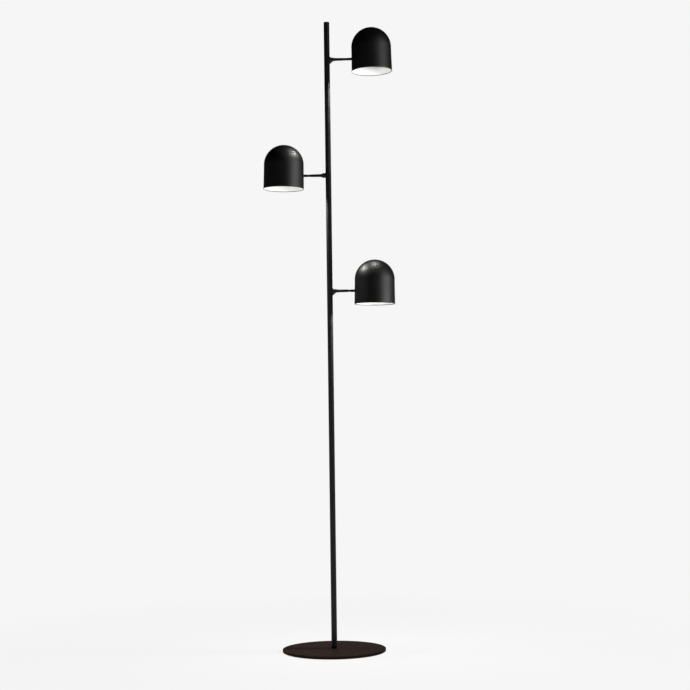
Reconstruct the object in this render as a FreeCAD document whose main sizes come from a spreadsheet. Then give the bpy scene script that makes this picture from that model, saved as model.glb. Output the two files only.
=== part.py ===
import FreeCAD, Part
import math
import os
import re

import Sketcher

# Tree floor lamp: a disc base, a slender pole and three short arms at three heights, each carrying a
# dome-topped shade that swivels with its arm and nods at a knuckle beside the shade.
# The origin is the centre of the base on the floor, +Z is up, and the arms lie along X.

# ---------------------------------------------------------------------------------------------------
# Driving sizes, in millimetres and degrees
# ---------------------------------------------------------------------------------------------------

SIZES = [
    ("lamp_height", "1540", "floor to the top of the pole"),
    ("base_diameter", "250", "disc base"),
    ("base_thickness", "6", "steel plate"),
    ("base_edge", "0.6", "chamfer round the plate's top and bottom"),
    ("foot_pad_thickness", "1.2", "soft ring glued under the plate"),
    ("foot_pad_inset", "3", "from the plate's edge to the pad's edge"),
    ("pole_diameter", "14", "both tubes"),
    ("pole_wall", "1.2", "both tubes"),
    ("pole_cap_thickness", "1.5", "disc that closes the pole"),
    ("pole_cap_plug", "8", "part of the cap inside the tube"),
    ("pole_cap_edge", "0.5", "chamfer round the cap's top"),
    ("foot_insert_length", "22", "threaded slug in the tube's foot"),
    ("coupler_length", "60", "hollow nipple that joins the tubes"),
    ("coupler_bore", "8.4", "way for the leads"),
    ("coupler_waist_depth", "0.4", "shallow waist round its middle"),
    ("coupler_waist_length", "2", "straight part of the waist"),
    ("base_screw_diameter", "8", "countersunk screw from beneath"),
    ("base_screw_head", "16", "countersunk head"),
    ("base_screw_length", "22", "under the plate to the tip"),
    ("base_screw_point", "1", "chamfer at the tip"),
    ("base_screw_socket", "5", "hexagon, across flats"),
    ("base_screw_socket_depth", "3", "hexagon"),
    ("gland_height", "40", "above the plate, to the cord's axis"),
    ("gland_bore", "6", "way for a cord"),
    ("gland_wall", "0.9", "bush wall"),
    ("gland_flange_diameter", "10.4", "outside the tube"),
    ("gland_flange_reach", "1.3", "beyond the tube"),
    ("top_arm_drop", "93", "pole's top to the top arm's axis"),
    ("middle_arm_drop", "287", "top arm's axis to the middle one's"),
    ("low_arm_drop", "285", "middle arm's axis to the low one's"),
    ("pole_joint_drop", "105", "low arm's axis to where the two tubes meet"),
    ("top_lean", "1", "degrees at rest, mouth outward"),
    ("middle_lean", "1", "degrees at rest, mouth outward"),
    ("low_lean", "-0.5", "degrees at rest, mouth outward"),
    ("arm_reach", "110", "pole axis to shade axis"),
    ("hub_root_diameter", "16", "flare against the tube"),
    ("hub_tip_diameter", "9.4", "end that faces the arm"),
    ("hub_length", "8.6", "from the tube to the hub's end"),
    ("hub_land", "0.6", "straight rim of the flare"),
    ("hub_flare", "5.5", "tube to the flare's end"),
    ("hub_spigot_diameter", "8", "part set through the tube's wall"),
    ("grub_screw_diameter", "3", "set in the hub's underside"),
    ("grub_screw_from_tip", "3.6", "hub's end to the screw's axis"),
    ("grub_tip_diameter", "1.6", "point in the journal's groove"),
    ("grub_socket_diameter", "1.5", "hole for the key"),
    ("journal_diameter", "6", "part of the arm that turns in the hub"),
    ("journal_groove", "0.7", "depth of the groove for the grub screw"),
    ("journal_inset", "0.4", "from the tube's surface to the journal's end"),
    ("arm_bore", "3.6", "way for the leads"),
    ("swivel_washer_diameter", "7.4", "friction washer"),
    ("swivel_washer_thickness", "0.8", "friction washer"),
    ("collar_diameter", "8.4", "arm's shoulder beside the washer"),
    ("collar_length", "2.2", "arm's shoulder"),
    ("arm_root_diameter", "7.2", "beside the collar"),
    ("knuckle_diameter", "6.3", "arm's tip and the shade's stub"),
    ("pivot_to_shade", "12.5", "nod axis to the shade's wall"),
    ("pivot_screw_diameter", "2", "nod axis"),
    ("pivot_screw_head", "3.4", "head, sunk in one cheek of the fork"),
    ("pivot_screw_seat", "0.6", "from the fork's slot to the head"),
    ("fork_slot", "4", "between the arm's two cheeks"),
    ("tongue_height", "5.2", "stub's tongue"),
    ("tongue_root", "0.5", "tongue's run into the stub's neck"),
    ("tongue_slot", "1.6", "way for the leads through the tongue"),
    ("tongue_slot_root", "1", "the slot's run into the stub's neck"),
    ("shade_diameter", "98", "outside"),
    ("shade_straight", "58", "cylinder below the dome"),
    ("shade_wall", "1.2", "spun sheet"),
    ("rim_to_arm", "31", "shade's rim to the arm's axis"),
    ("stub_thread_diameter", "5", "spigot through the shade's wall"),
    ("stub_bore", "3.4", "way for the leads"),
    ("stub_washer_diameter", "10", "flat washer"),
    ("stub_washer_thickness", "1", "flat washer"),
    ("stub_nut_flats", "8", "hexagon, across flats"),
    ("stub_nut_thickness", "3.2", "hexagon nut"),
    ("stub_thread_end", "1", "spigot beyond its nut"),
    ("strap_width", "12", "lampholder's strap"),
    ("strap_thickness", "1.2", "lampholder's strap"),
    ("strap_tail", "8", "below the arm's axis"),
    ("strap_bend", "3", "inner radius of the strap's bends"),
    ("strap_shoulder", "20", "shade axis to the strap's upper bend"),
    ("strap_end", "13", "shade axis to the strap's far end"),
    ("holder_diameter", "26", "ceramic lampholder"),
    ("holder_length", "21", "ceramic lampholder"),
    ("holder_skirt", "10.5", "lampholder's mouth to its step"),
    ("holder_step", "1.5", "from the skirt in to the waist"),
    ("pin_socket_end", "1", "a pin's socket beyond the pin"),
    ("port_height", "1.6", "lampholder's mouth to the leads"),
    ("port_depth", "4.5", "leads' port in the lampholder"),
    ("holder_screw_diameter", "3", "strap to lampholder"),
    ("holder_screw_spacing", "15", "strap to lampholder"),
    ("holder_screw_length", "8", "under the head"),
    ("holder_screw_head", "6", "pan head"),
    ("holder_screw_head_height", "1.8", "pan head"),
    ("holder_screw_hole_end", "0.5", "hole beyond the screw's tip"),
    ("bulb_diameter", "50", "reflector bulb's face"),
    ("bulb_length", "46.5", "face to the bulb's back"),
    ("bulb_back_diameter", "30", "bulb's back"),
    ("bulb_recess", "22", "shade's rim to the bulb's face"),
    ("bulb_rim", "2.2", "ring round the lens"),
    ("bulb_rim_height", "7", "straight part beside the lens"),
    ("bulb_flank_height", "30", "curved part"),
    ("lens_thickness", "2", "lens at its edge"),
    ("lens_crown", "0.8", "rise of the lens at its middle"),
    ("pin_spacing", "10", "bulb's two contact pins"),
    ("pin_diameter", "2.8", "shank"),
    ("pin_head_diameter", "4.6", "head"),
    ("pin_length", "7.5", "shank and head"),
    ("pin_head_length", "2", "head"),
    ("lead_diameter", "1.4", "insulated core"),
    ("lead_spacing", "1.6", "between the two cores of a pair"),
    ("lead_offset", "3", "outer pairs from the pole's axis"),
    ("lead_bend", "2.6", "radius where a pair enters an arm"),
    ("lead_end_gap", "1", "an arm's pair to the fork's slot"),
    ("head_lead_inset", "2", "stub's shoulder to a head's pair"),
    ("head_lead_bend", "5", "radius of the bends inside a shade"),
    ("splice_length", "16", "moulded splice in the pole"),
    ("splice_height", "66", "floor to the splice's lower end"),
    ("lead_insertion", "6", "core inside the splice"),
    ("edge_ease", "0.3", "chamfer on small turned pieces"),
    ("fixed_gap", "0.05", "radial, between pieces fixed together"),
    ("running_gap", "0.05", "radial, between pieces that turn"),
    ("face_gap", "0.1", "between flat faces that turn past each other"),
    ("clear_gap", "0.3", "between moving pieces that don't touch"),
    ("cut_over", "1", "how far a cut runs past what it cuts"),
]

NAMES = {name for name, text, note in SIZES}

doc = FreeCAD.newDocument("TreeFloorLamp")
sheet = doc.addObject("Spreadsheet::Sheet", "Sizes")
for row, (name, text, note) in enumerate(SIZES, start=1):
    sheet.set(f"A{row}", name)
    sheet.set(f"B{row}", text)
    sheet.set(f"C{row}", note)
    sheet.setAlias(f"B{row}", name)
doc.recompute()

# ---------------------------------------------------------------------------------------------------
# Sizes that follow from the driving ones, as expressions on the sheet
# ---------------------------------------------------------------------------------------------------

BASE_R = "(base_diameter / 2)"
BASE_TOP = "(foot_pad_thickness + base_thickness)"
POLE_R = "(pole_diameter / 2)"
POLE_BORE_R = "(pole_diameter / 2 - pole_wall)"
INNER_FIT_R = f"({POLE_BORE_R} - fixed_gap)"
POLE_TOP = "(lamp_height - pole_cap_thickness)"
TOP_ARM_Z = "(lamp_height - top_arm_drop)"
MIDDLE_ARM_Z = f"({TOP_ARM_Z} - middle_arm_drop)"
LOW_ARM_Z = f"({MIDDLE_ARM_Z} - low_arm_drop)"
ARM_Z = {"top": TOP_ARM_Z, "middle": MIDDLE_ARM_Z, "low": LOW_ARM_Z}
JOINT_Z = f"({LOW_ARM_Z} - pole_joint_drop)"
GLAND_Z = f"({BASE_TOP} + gland_height)"
GLAND_R = "(gland_bore / 2 + gland_wall)"
SPLICE_TOP = "(splice_height + splice_length)"

HUB_TIP = f"({POLE_R} + hub_length)"
JOURNAL_R = "(journal_diameter / 2)"
HUB_TIP_R = "(hub_tip_diameter / 2)"
JOURNAL_START = f"({POLE_R} + journal_inset)"
GROOVE_FLOOR = f"({JOURNAL_R} - journal_groove)"
GROOVE_HALF = "(grub_tip_diameter / 2 + clear_gap)"
GRUB_U = f"({HUB_TIP} - grub_screw_from_tip)"
LEAD_WAY_R = "(arm_bore / 2)"
COLLAR_START = f"({HUB_TIP} + face_gap + swivel_washer_thickness)"
COLLAR_END = f"({COLLAR_START} + collar_length)"

SHADE_R = "(shade_diameter / 2)"
SHADE_INNER_R = "(shade_diameter / 2 - shade_wall)"
PIVOT_U = f"(arm_reach - {SHADE_R} - pivot_to_shade)"
KNUCKLE_R = "(knuckle_diameter / 2)"
TONGUE_R = "(tongue_height / 2)"
TONGUE_THICKNESS = "(fork_slot - 2 * face_gap)"
SHADE_AXIS = f"(pivot_to_shade + {SHADE_R})"
RIM_Z = "(0 - rim_to_arm)"
DOME_Z = "(shade_straight - rim_to_arm)"
STUB_R = "(stub_thread_diameter / 2)"

STRAP_SEAT = f"({SHADE_AXIS} - sqrt({SHADE_INNER_R} ^ 2 - (strap_width / 2) ^ 2) + fixed_gap)"
STRAP_INNER = f"({STRAP_SEAT} + strap_thickness)"
WASHER_INNER = f"({STRAP_INNER} + stub_washer_thickness)"
NUT_INNER = f"({WASHER_INNER} + stub_nut_thickness)"
STUB_END = f"({NUT_INNER} + stub_thread_end)"

BULB_FACE_Z = f"({RIM_Z} + bulb_recess)"
BULB_BACK_Z = f"({BULB_FACE_Z} + bulb_length)"
HOLDER_Z = f"({BULB_BACK_Z} + face_gap)"
HOLDER_R = "(holder_diameter / 2)"
STRAP_Z = f"({HOLDER_Z} + holder_length)"
SCREW_X = ("holder_screw_spacing / 2", "0 - holder_screw_spacing / 2")
PORT_Z = f"({HOLDER_Z} + lead_diameter / 2 + port_height)"
PORT_END = f"({SHADE_AXIS} - {HOLDER_R} + port_depth)"

SHOULDER_X = f"({KNUCKLE_R} + clear_gap)"
PIVOT_HEAD_Y = "(fork_slot / 2 + pivot_screw_seat)"

VOLUME_SLACK = 1e-6
LENGTH_SLACK = 0.01
CORE_SLACK = 0.001

SIDES = {"top": 1, "middle": -1, "low": 1}
LEAD_X = {"top": "0", "middle": "(0 - lead_offset)", "low": "lead_offset"}


def bound(text):
    """Return the expression with each named size read from the sheet."""
    return re.sub(r"[a-z]\w*", lambda found: sheet_name(found.group()), text)


def sheet_name(word):
    """Return the word as the sheet's size of that name, or unchanged."""
    return f"Sizes.{word}" if word in NAMES else word


def value(text):
    """Return an expression's value now, in millimetres or degrees."""
    return float(sheet.evalExpression(bound(text)))


# ---------------------------------------------------------------------------------------------------
# Sketches and features
# ---------------------------------------------------------------------------------------------------

PARTS = []


def new_body(label):
    """Add an empty body for one sub-part."""
    body = doc.addObject("PartDesign::Body", label)
    body.Label = label
    PARTS.append(body)
    return body


def new_sketch(body, plane, shift=("0", "0", "0")):
    """Add a sketch on one of the body's own planes, its origin moved by three expressions."""
    sketch = body.newObject("Sketcher::SketchObject", f"{body.Name}_sketch")
    support = [feature for feature in body.Origin.OriginFeatures if feature.Role == plane]
    sketch.AttachmentSupport = [(support[0], "")]
    sketch.MapMode = "FlatFace"
    for letter, text in zip("xyz", shift):
        if text != "0":
            sketch.setExpression(f"AttachmentOffset.Base.{letter}", bound(text))
    return sketch


def tie(sketch, geometry, position, corner):
    """Bind a sketch point to the two expressions of a corner; None leaves one free."""
    for kind, axis, text in zip(("DistanceX", "DistanceY"), (-2, -1), corner):
        if text is None:
            continue
        if text == "0":
            sketch.addConstraint(Sketcher.Constraint("PointOnObject", geometry, position, axis))
            continue
        index = sketch.addConstraint(Sketcher.Constraint(kind, -1, 1, geometry, position, value(text)))
        sketch.setExpression(f"Constraints[{index}]", bound(text))


def outline(sketch, corners, arcs=None):
    """Draw a closed outline through the corners, each a pair of expressions.

    arcs maps the index of an edge to its arc's (centre, turn), where turn is 1 for an arc that runs
    counter-clockwise from its first corner and -1 for one that runs clockwise. A corner after an arc
    has a third item, the free coordinate's letter, because the arc's radius settles that one.
    """
    arcs = arcs or {}
    count = len(corners)
    points = [FreeCAD.Vector(value(corner[0]), value(corner[1]), 0) for corner in corners]
    ends = []
    for index in range(count):
        start, stop = points[index], points[(index + 1) % count]
        if index in arcs:
            centre, turn = arcs[index]
            middle = FreeCAD.Vector(value(centre[0]), value(centre[1]), 0)
            circle = Part.Circle(middle, FreeCAD.Vector(0, 0, 1), (start - middle).Length)
            first, last = (start, stop) if turn > 0 else (stop, start)
            angles = [math.atan2(point.y - middle.y, point.x - middle.x) for point in (first, last)]
            geometry = sketch.addGeometry(Part.ArcOfCircle(circle, angles[0], angles[1]))
            ends.append((geometry, 1, 2) if turn > 0 else (geometry, 2, 1))
        else:
            geometry = sketch.addGeometry(Part.LineSegment(start, stop))
            ends.append((geometry, 1, 2))
    for index in range(count):
        after = ends[(index + 1) % count]
        sketch.addConstraint(
            Sketcher.Constraint("Coincident", ends[index][0], ends[index][2], after[0], after[1])
        )
    for index, corner in enumerate(corners):
        free = corner[2] if len(corner) > 2 else ""
        known = (None if free == "x" else corner[0], None if free == "y" else corner[1])
        tie(sketch, ends[index][0], ends[index][1], known)
    for index, (centre, turn) in arcs.items():
        tie(sketch, ends[index][0], 3, centre)


def circle(sketch, radius, centre=("0", "0")):
    """Draw a circle whose radius and centre are expressions."""
    middle = FreeCAD.Vector(value(centre[0]), value(centre[1]), 0)
    geometry = sketch.addGeometry(Part.Circle(middle, FreeCAD.Vector(0, 0, 1), value(radius)))
    if centre == ("0", "0"):
        sketch.addConstraint(Sketcher.Constraint("Coincident", geometry, 3, -1, 1))
    else:
        tie(sketch, geometry, 3, centre)
    index = sketch.addConstraint(Sketcher.Constraint("Radius", geometry, value(radius)))
    sketch.setExpression(f"Constraints[{index}]", bound(radius))


def box_outline(sketch, low, high):
    """Draw a rectangle between two corners of expressions."""
    outline(sketch, [low, (high[0], low[1]), high, (low[0], high[1])])


def hexagon(sketch, flats):
    """Draw a hexagon about the sketch's origin, by its size across flats."""
    corner = f"({flats} / sqrt(3))"
    half = f"({flats} / 2)"
    outline(
        sketch,
        [
            (corner, "0"),
            (f"({corner} / 2)", half),
            (f"(0 - {corner} / 2)", half),
            (f"(0 - {corner})", "0"),
            (f"(0 - {corner} / 2)", f"(0 - {half})"),
            (f"({corner} / 2)", f"(0 - {half})"),
        ],
    )


def revolve(body, sketch, axis="V_Axis"):
    """Turn a sketch a full circle about one of its axes and add it to the body."""
    feature = body.newObject("PartDesign::Revolution", f"{body.Name}_turned")
    feature.Profile = sketch
    feature.ReferenceAxis = (sketch, [axis])
    feature.Angle = 360
    return feature


def pad(body, sketch, length, symmetric=False):
    """Pad a sketch by an expression's length, to one side or half to each."""
    feature = body.newObject("PartDesign::Pad", f"{body.Name}_pad")
    feature.Profile = sketch
    feature.SideType = "Symmetric" if symmetric else "One side"
    feature.setExpression("Length", bound(length))
    return feature


def cut(body, sketch, length=None, reverse=False):
    """Cut a sketch out of the body: right through both ways, or by a length to one side."""
    doc.recompute()
    before = body.Shape.Volume
    feature = body.newObject("PartDesign::Pocket", f"{body.Name}_cut")
    feature.Profile = sketch
    if length is None:
        feature.Type = "ThroughAll"
        feature.SideType = "Symmetric"
    else:
        feature.setExpression("Length", bound(length))
        feature.Reversed = reverse
    doc.recompute()
    if body.Shape.Volume > before - VOLUME_SLACK:
        raise ValueError(f"{feature.Name} cuts nothing")
    return feature


def ring(label, inner, outer, low, high):
    """Make a plain turned ring about Z, from four expressions."""
    body = new_body(label)
    sketch = new_sketch(body, "XZ_Plane")
    box_outline(sketch, (inner, low), (outer, high))
    revolve(body, sketch)
    return body


def place(body, side=1, position=("0", "0"), lean="0"):
    """Put a sub-part at an X and Z of expressions, turned to its side and leaned at rest."""
    turned = FreeCAD.Rotation(FreeCAD.Vector(0, 0, 1), 0 if side > 0 else 180)
    leaned = FreeCAD.Rotation(FreeCAD.Vector(0, 1, 0), -value(lean))
    body.Placement = FreeCAD.Placement(FreeCAD.Vector(), turned.multiply(leaned))
    for letter, text in zip("xz", position):
        if text != "0":
            body.setExpression(f"Placement.Base.{letter}", bound(text))


# ---------------------------------------------------------------------------------------------------
# Base and pole
# ---------------------------------------------------------------------------------------------------


def make_base_plate():
    """Steel disc with eased edges and a countersunk hole from beneath."""
    body = new_body("base_plate")
    sketch = new_sketch(body, "XZ_Plane")
    hole = "(base_screw_diameter / 2 + fixed_gap)"
    sink = "(base_screw_head / 2 + fixed_gap)"
    bottom = "foot_pad_thickness"
    sink_top = f"({bottom} + {sink} - {hole})"
    outline(
        sketch,
        [
            (sink, bottom),
            (f"({BASE_R} - base_edge)", bottom),
            (BASE_R, f"({bottom} + base_edge)"),
            (BASE_R, f"({BASE_TOP} - base_edge)"),
            (f"({BASE_R} - base_edge)", BASE_TOP),
            (hole, BASE_TOP),
            (hole, sink_top),
        ],
    )
    revolve(body, sketch)


def make_base_screw():
    """Countersunk screw that draws the pole down on the plate."""
    body = new_body("base_screw")
    sketch = new_sketch(body, "XZ_Plane")
    shank = "(base_screw_diameter / 2)"
    head = "(base_screw_head / 2)"
    bottom = "foot_pad_thickness"
    outline(
        sketch,
        [
            ("0", bottom),
            (head, bottom),
            (shank, f"({bottom} + {head} - {shank})"),
            (shank, f"({bottom} + base_screw_length - base_screw_point)"),
            (f"({shank} - base_screw_point)", f"({bottom} + base_screw_length)"),
            ("0", f"({bottom} + base_screw_length)"),
        ],
    )
    revolve(body, sketch)
    socket = new_sketch(body, "XY_Plane", ("0", "0", bottom))
    hexagon(socket, "base_screw_socket")
    cut(body, socket, "base_screw_socket_depth", reverse=True)


def make_foot_insert():
    """Threaded slug fixed in the lower tube, which the base screw draws on."""
    ring(
        "pole_foot_insert",
        "(base_screw_diameter / 2 + fixed_gap)",
        INNER_FIT_R,
        BASE_TOP,
        f"({BASE_TOP} + foot_insert_length)",
    )


def make_lower_pole():
    """Lower tube, with the gland's hole in its rear."""
    body = ring("lower_pole", POLE_BORE_R, POLE_R, BASE_TOP, JOINT_Z)
    hole = new_sketch(body, "XZ_Plane", ("0", GLAND_Z, "0"))
    circle(hole, f"({GLAND_R} + fixed_gap)")
    cut(body, hole, POLE_R)


def make_upper_pole():
    """Upper tube, with a hole for each hub's spigot on the hub's own side."""
    body = ring("upper_pole", POLE_BORE_R, POLE_R, JOINT_Z, POLE_TOP)
    for level, side in SIDES.items():
        hole = new_sketch(body, "YZ_Plane", ("0", ARM_Z[level], "0"))
        circle(hole, "(hub_spigot_diameter / 2 + fixed_gap)")
        cut(body, hole, POLE_R, reverse=side > 0)


def make_coupler():
    """Hollow nipple with a shallow waist at its middle, which joins the two tubes."""
    body = new_body("pole_coupler")
    sketch = new_sketch(body, "XZ_Plane")
    bore = "(coupler_bore / 2)"
    waist = f"({INNER_FIT_R} - coupler_waist_depth)"
    middle = JOINT_Z
    outline(
        sketch,
        [
            (bore, f"({middle} - coupler_length / 2)"),
            (INNER_FIT_R, f"({middle} - coupler_length / 2)"),
            (INNER_FIT_R, f"({middle} - coupler_waist_length)"),
            (waist, f"({middle} - coupler_waist_length / 2)"),
            (waist, f"({middle} + coupler_waist_length / 2)"),
            (INNER_FIT_R, f"({middle} + coupler_waist_length)"),
            (INNER_FIT_R, f"({middle} + coupler_length / 2)"),
            (bore, f"({middle} + coupler_length / 2)"),
        ],
    )
    revolve(body, sketch)


def make_cap():
    """Disc with a plug that closes the pole."""
    body = new_body("pole_cap")
    sketch = new_sketch(body, "XZ_Plane")
    outline(
        sketch,
        [
            ("0", f"({POLE_TOP} - pole_cap_plug)"),
            (INNER_FIT_R, f"({POLE_TOP} - pole_cap_plug)"),
            (INNER_FIT_R, POLE_TOP),
            (POLE_R, POLE_TOP),
            (POLE_R, "(lamp_height - pole_cap_edge)"),
            (f"({POLE_R} - pole_cap_edge)", "lamp_height"),
            ("0", "lamp_height"),
        ],
    )
    revolve(body, sketch)


def make_gland():
    """Bush in the pole's rear: a flange that seats on the tube and a barrel through its wall."""
    body = new_body("cord_gland")
    bore = "(gland_bore / 2)"
    reach = f"({POLE_R} + gland_flange_reach)"
    flange = new_sketch(body, "XY_Plane")
    box_outline(flange, (bore, f"({POLE_R} / 2)"), ("(gland_flange_diameter / 2)", reach))
    revolve(body, flange)
    saddle(body)
    barrel = new_sketch(body, "XY_Plane")
    box_outline(barrel, (bore, f"({POLE_BORE_R} - gland_wall)"), (GLAND_R, reach))
    revolve(body, barrel)
    place(body, position=("0", GLAND_Z))


def saddle(body):
    """Cut away what lies inside the pole's surface, so that the body seats on the tube."""
    surface = new_sketch(body, "XY_Plane")
    circle(surface, f"({POLE_R} + fixed_gap)")
    cut(body, surface)


def make_splice():
    """Moulded splice in the pole: six cores enter from above and a cord's two from below."""
    body = ring("lead_splice", "0", INNER_FIT_R, "splice_height", SPLICE_TOP)
    cores = new_sketch(body, "XY_Plane", ("0", "0", SPLICE_TOP))
    for offset in LEAD_X.values():
        for side in ("lead_spacing / 2", "0 - lead_spacing / 2"):
            circle(cores, "(lead_diameter / 2 + fixed_gap)", (offset, side))
    cut(body, cores, "lead_insertion")
    cord_cores = new_sketch(body, "XY_Plane", ("0", "0", "splice_height"))
    for side in ("lead_diameter", "0 - lead_diameter"):
        circle(cord_cores, "(lead_diameter / 2 + fixed_gap)", ("0", side))
    cut(body, cord_cores, "lead_insertion", reverse=True)


# ---------------------------------------------------------------------------------------------------
# Arms
# ---------------------------------------------------------------------------------------------------


def make_hub(level):
    """Flared hub on the tube, with a spigot through its wall and a bearing for the arm."""
    body = new_body(f"{level}_hub")
    bearing = f"({JOURNAL_R} + running_gap)"
    root = "(hub_root_diameter / 2)"
    land = f"({POLE_R} + hub_land)"
    flare_end = f"({POLE_R} + hub_flare)"
    run = "(hub_flare - hub_land)"
    rise = f"({root} - {HUB_TIP_R})"
    flare_radius = f"(({run} ^ 2 + {rise} ^ 2) / (2 * {rise}))"
    profile = new_sketch(body, "XZ_Plane")
    outline(
        profile,
        [
            ("0", bearing),
            (HUB_TIP, bearing),
            (HUB_TIP, f"({HUB_TIP_R} - edge_ease)"),
            (f"({HUB_TIP} - edge_ease)", HUB_TIP_R),
            (flare_end, HUB_TIP_R),
            (land, root, "x"),
            ("0", root),
        ],
        {4: ((flare_end, f"({HUB_TIP_R} + {flare_radius})"), -1)},
    )
    revolve(body, profile, "H_Axis")
    saddle(body)
    spigot = new_sketch(body, "XZ_Plane")
    box_outline(
        spigot,
        (f"({POLE_BORE_R} - journal_inset)", LEAD_WAY_R),
        (f"({JOURNAL_START} - face_gap)", "(hub_spigot_diameter / 2)"),
    )
    revolve(body, spigot, "H_Axis")
    hole = new_sketch(body, "XY_Plane")
    circle(hole, "(grub_screw_diameter / 2 + fixed_gap)", (GRUB_U, "0"))
    cut(body, hole, root)
    place(body, SIDES[level], ("0", ARM_Z[level]))


def make_hub_screws():
    """Grub screw in each hub's underside, its point in the journal's groove."""
    screws = []
    tip = value(f"({GROOVE_FLOOR} + clear_gap)")
    shank_start = value(f"({JOURNAL_R} + running_gap)")
    outer = value(f"({HUB_TIP_R} - edge_ease)")
    down = FreeCAD.Vector(0, 0, -1)
    for level, side in SIDES.items():
        axis = FreeCAD.Vector(side * value(GRUB_U), 0, value(ARM_Z[level]))
        point = Part.makeCylinder(value("grub_tip_diameter / 2"), outer - tip, axis + down * tip, down)
        shank = Part.makeCylinder(
            value("grub_screw_diameter / 2"), outer - shank_start, axis + down * shank_start, down
        )
        socket = Part.makeCylinder(
            value("grub_socket_diameter / 2"), (outer - shank_start) / 2, axis + down * outer, down * -1
        )
        screws.append(point.fuse(shank).cut(socket).removeSplitter().Solids[0])
    add_shape("hub_screws", Part.Compound(screws))


def make_arm(level):
    """Hollow turned arm: journal, grooved for the grub screw, collar, tapered tube and slotted fork."""
    body = new_body(f"{level}_arm")
    collar = "(collar_diameter / 2)"
    fork_end = f"({PIVOT_U} + {KNUCKLE_R})"
    profile = new_sketch(body, "XZ_Plane")
    outline(
        profile,
        [
            (JOURNAL_START, LEAD_WAY_R),
            (JOURNAL_START, JOURNAL_R),
            (f"({GRUB_U} - {GROOVE_HALF})", JOURNAL_R),
            (f"({GRUB_U} - {GROOVE_HALF})", GROOVE_FLOOR),
            (f"({GRUB_U} + {GROOVE_HALF})", GROOVE_FLOOR),
            (f"({GRUB_U} + {GROOVE_HALF})", JOURNAL_R),
            (COLLAR_START, JOURNAL_R),
            (COLLAR_START, f"({collar} - edge_ease)"),
            (f"({COLLAR_START} + edge_ease)", collar),
            (f"({COLLAR_END} - edge_ease * 2)", collar),
            (COLLAR_END, "(arm_root_diameter / 2)"),
            (f"({PIVOT_U} - knuckle_diameter)", KNUCKLE_R),
            (fork_end, KNUCKLE_R),
            (fork_end, LEAD_WAY_R),
        ],
    )
    revolve(body, profile, "H_Axis")
    slot = new_sketch(body, "XY_Plane")
    box_outline(
        slot,
        (f"({PIVOT_U} - {TONGUE_R} - clear_gap)", "(0 - fork_slot / 2)"),
        (f"({fork_end} + cut_over)", "(fork_slot / 2)"),
    )
    cut(body, slot)
    rounding = new_sketch(body, "XZ_Plane")
    beyond = f"({KNUCKLE_R} + cut_over)"
    outline(
        rounding,
        [
            (PIVOT_U, beyond),
            (f"({PIVOT_U} + {beyond})", beyond),
            (f"({PIVOT_U} + {beyond})", f"(0 - {beyond})"),
            (PIVOT_U, f"(0 - {beyond})"),
            (PIVOT_U, f"(0 - {KNUCKLE_R})"),
            (PIVOT_U, KNUCKLE_R, "y"),
        ],
        {4: ((PIVOT_U, "0"), 1)},
    )
    cut(body, rounding)
    hole = new_sketch(body, "XZ_Plane")
    circle(hole, "(pivot_screw_diameter / 2 + fixed_gap)", (PIVOT_U, "0"))
    cut(body, hole)
    head_seat = new_sketch(body, "XZ_Plane", ("0", "0", f"(0 - {PIVOT_HEAD_Y})"))
    circle(head_seat, "(pivot_screw_head / 2 + fixed_gap)", (PIVOT_U, "0"))
    cut(body, head_seat, "knuckle_diameter")
    place(body, SIDES[level], ("0", ARM_Z[level]))


def make_swivel_washer(level):
    """Friction washer in the groove between the hub and the arm's collar."""
    body = new_body(f"{level}_swivel_washer")
    profile = new_sketch(body, "XZ_Plane")
    box_outline(
        profile,
        (f"({HUB_TIP} + face_gap)", f"({JOURNAL_R} + fixed_gap)"),
        (COLLAR_START, "(swivel_washer_diameter / 2)"),
    )
    revolve(body, profile, "H_Axis")
    place(body, SIDES[level], ("0", ARM_Z[level]))


def make_pivot_screw(level):
    """Screw across the fork, on which the head nods."""
    body = new_body(f"{level}_pivot_screw")
    shank = "(pivot_screw_diameter / 2)"
    head = "(pivot_screw_head / 2)"
    seat = f"({PIVOT_HEAD_Y} + fixed_gap)"
    profile = new_sketch(body, "XY_Plane")
    outline(
        profile,
        [
            ("0", f"(edge_ease - {KNUCKLE_R})"),
            (shank, f"(edge_ease - {KNUCKLE_R})"),
            (shank, seat),
            (head, seat),
            (head, f"({KNUCKLE_R} - fixed_gap)"),
            ("0", f"({KNUCKLE_R} - fixed_gap)"),
        ],
    )
    revolve(body, profile)
    place(body, SIDES[level], (f"({SIDES[level]} * {PIVOT_U})", ARM_Z[level]))


# ---------------------------------------------------------------------------------------------------
# Heads: each piece is drawn about its nod axis and placed there, leaned as it rests
# ---------------------------------------------------------------------------------------------------


def place_head_piece(body, level):
    """Put a head's piece on its nod axis."""
    side = SIDES[level]
    place(body, side, (f"({side} * {PIVOT_U})", ARM_Z[level]), f"{level}_lean")


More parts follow.
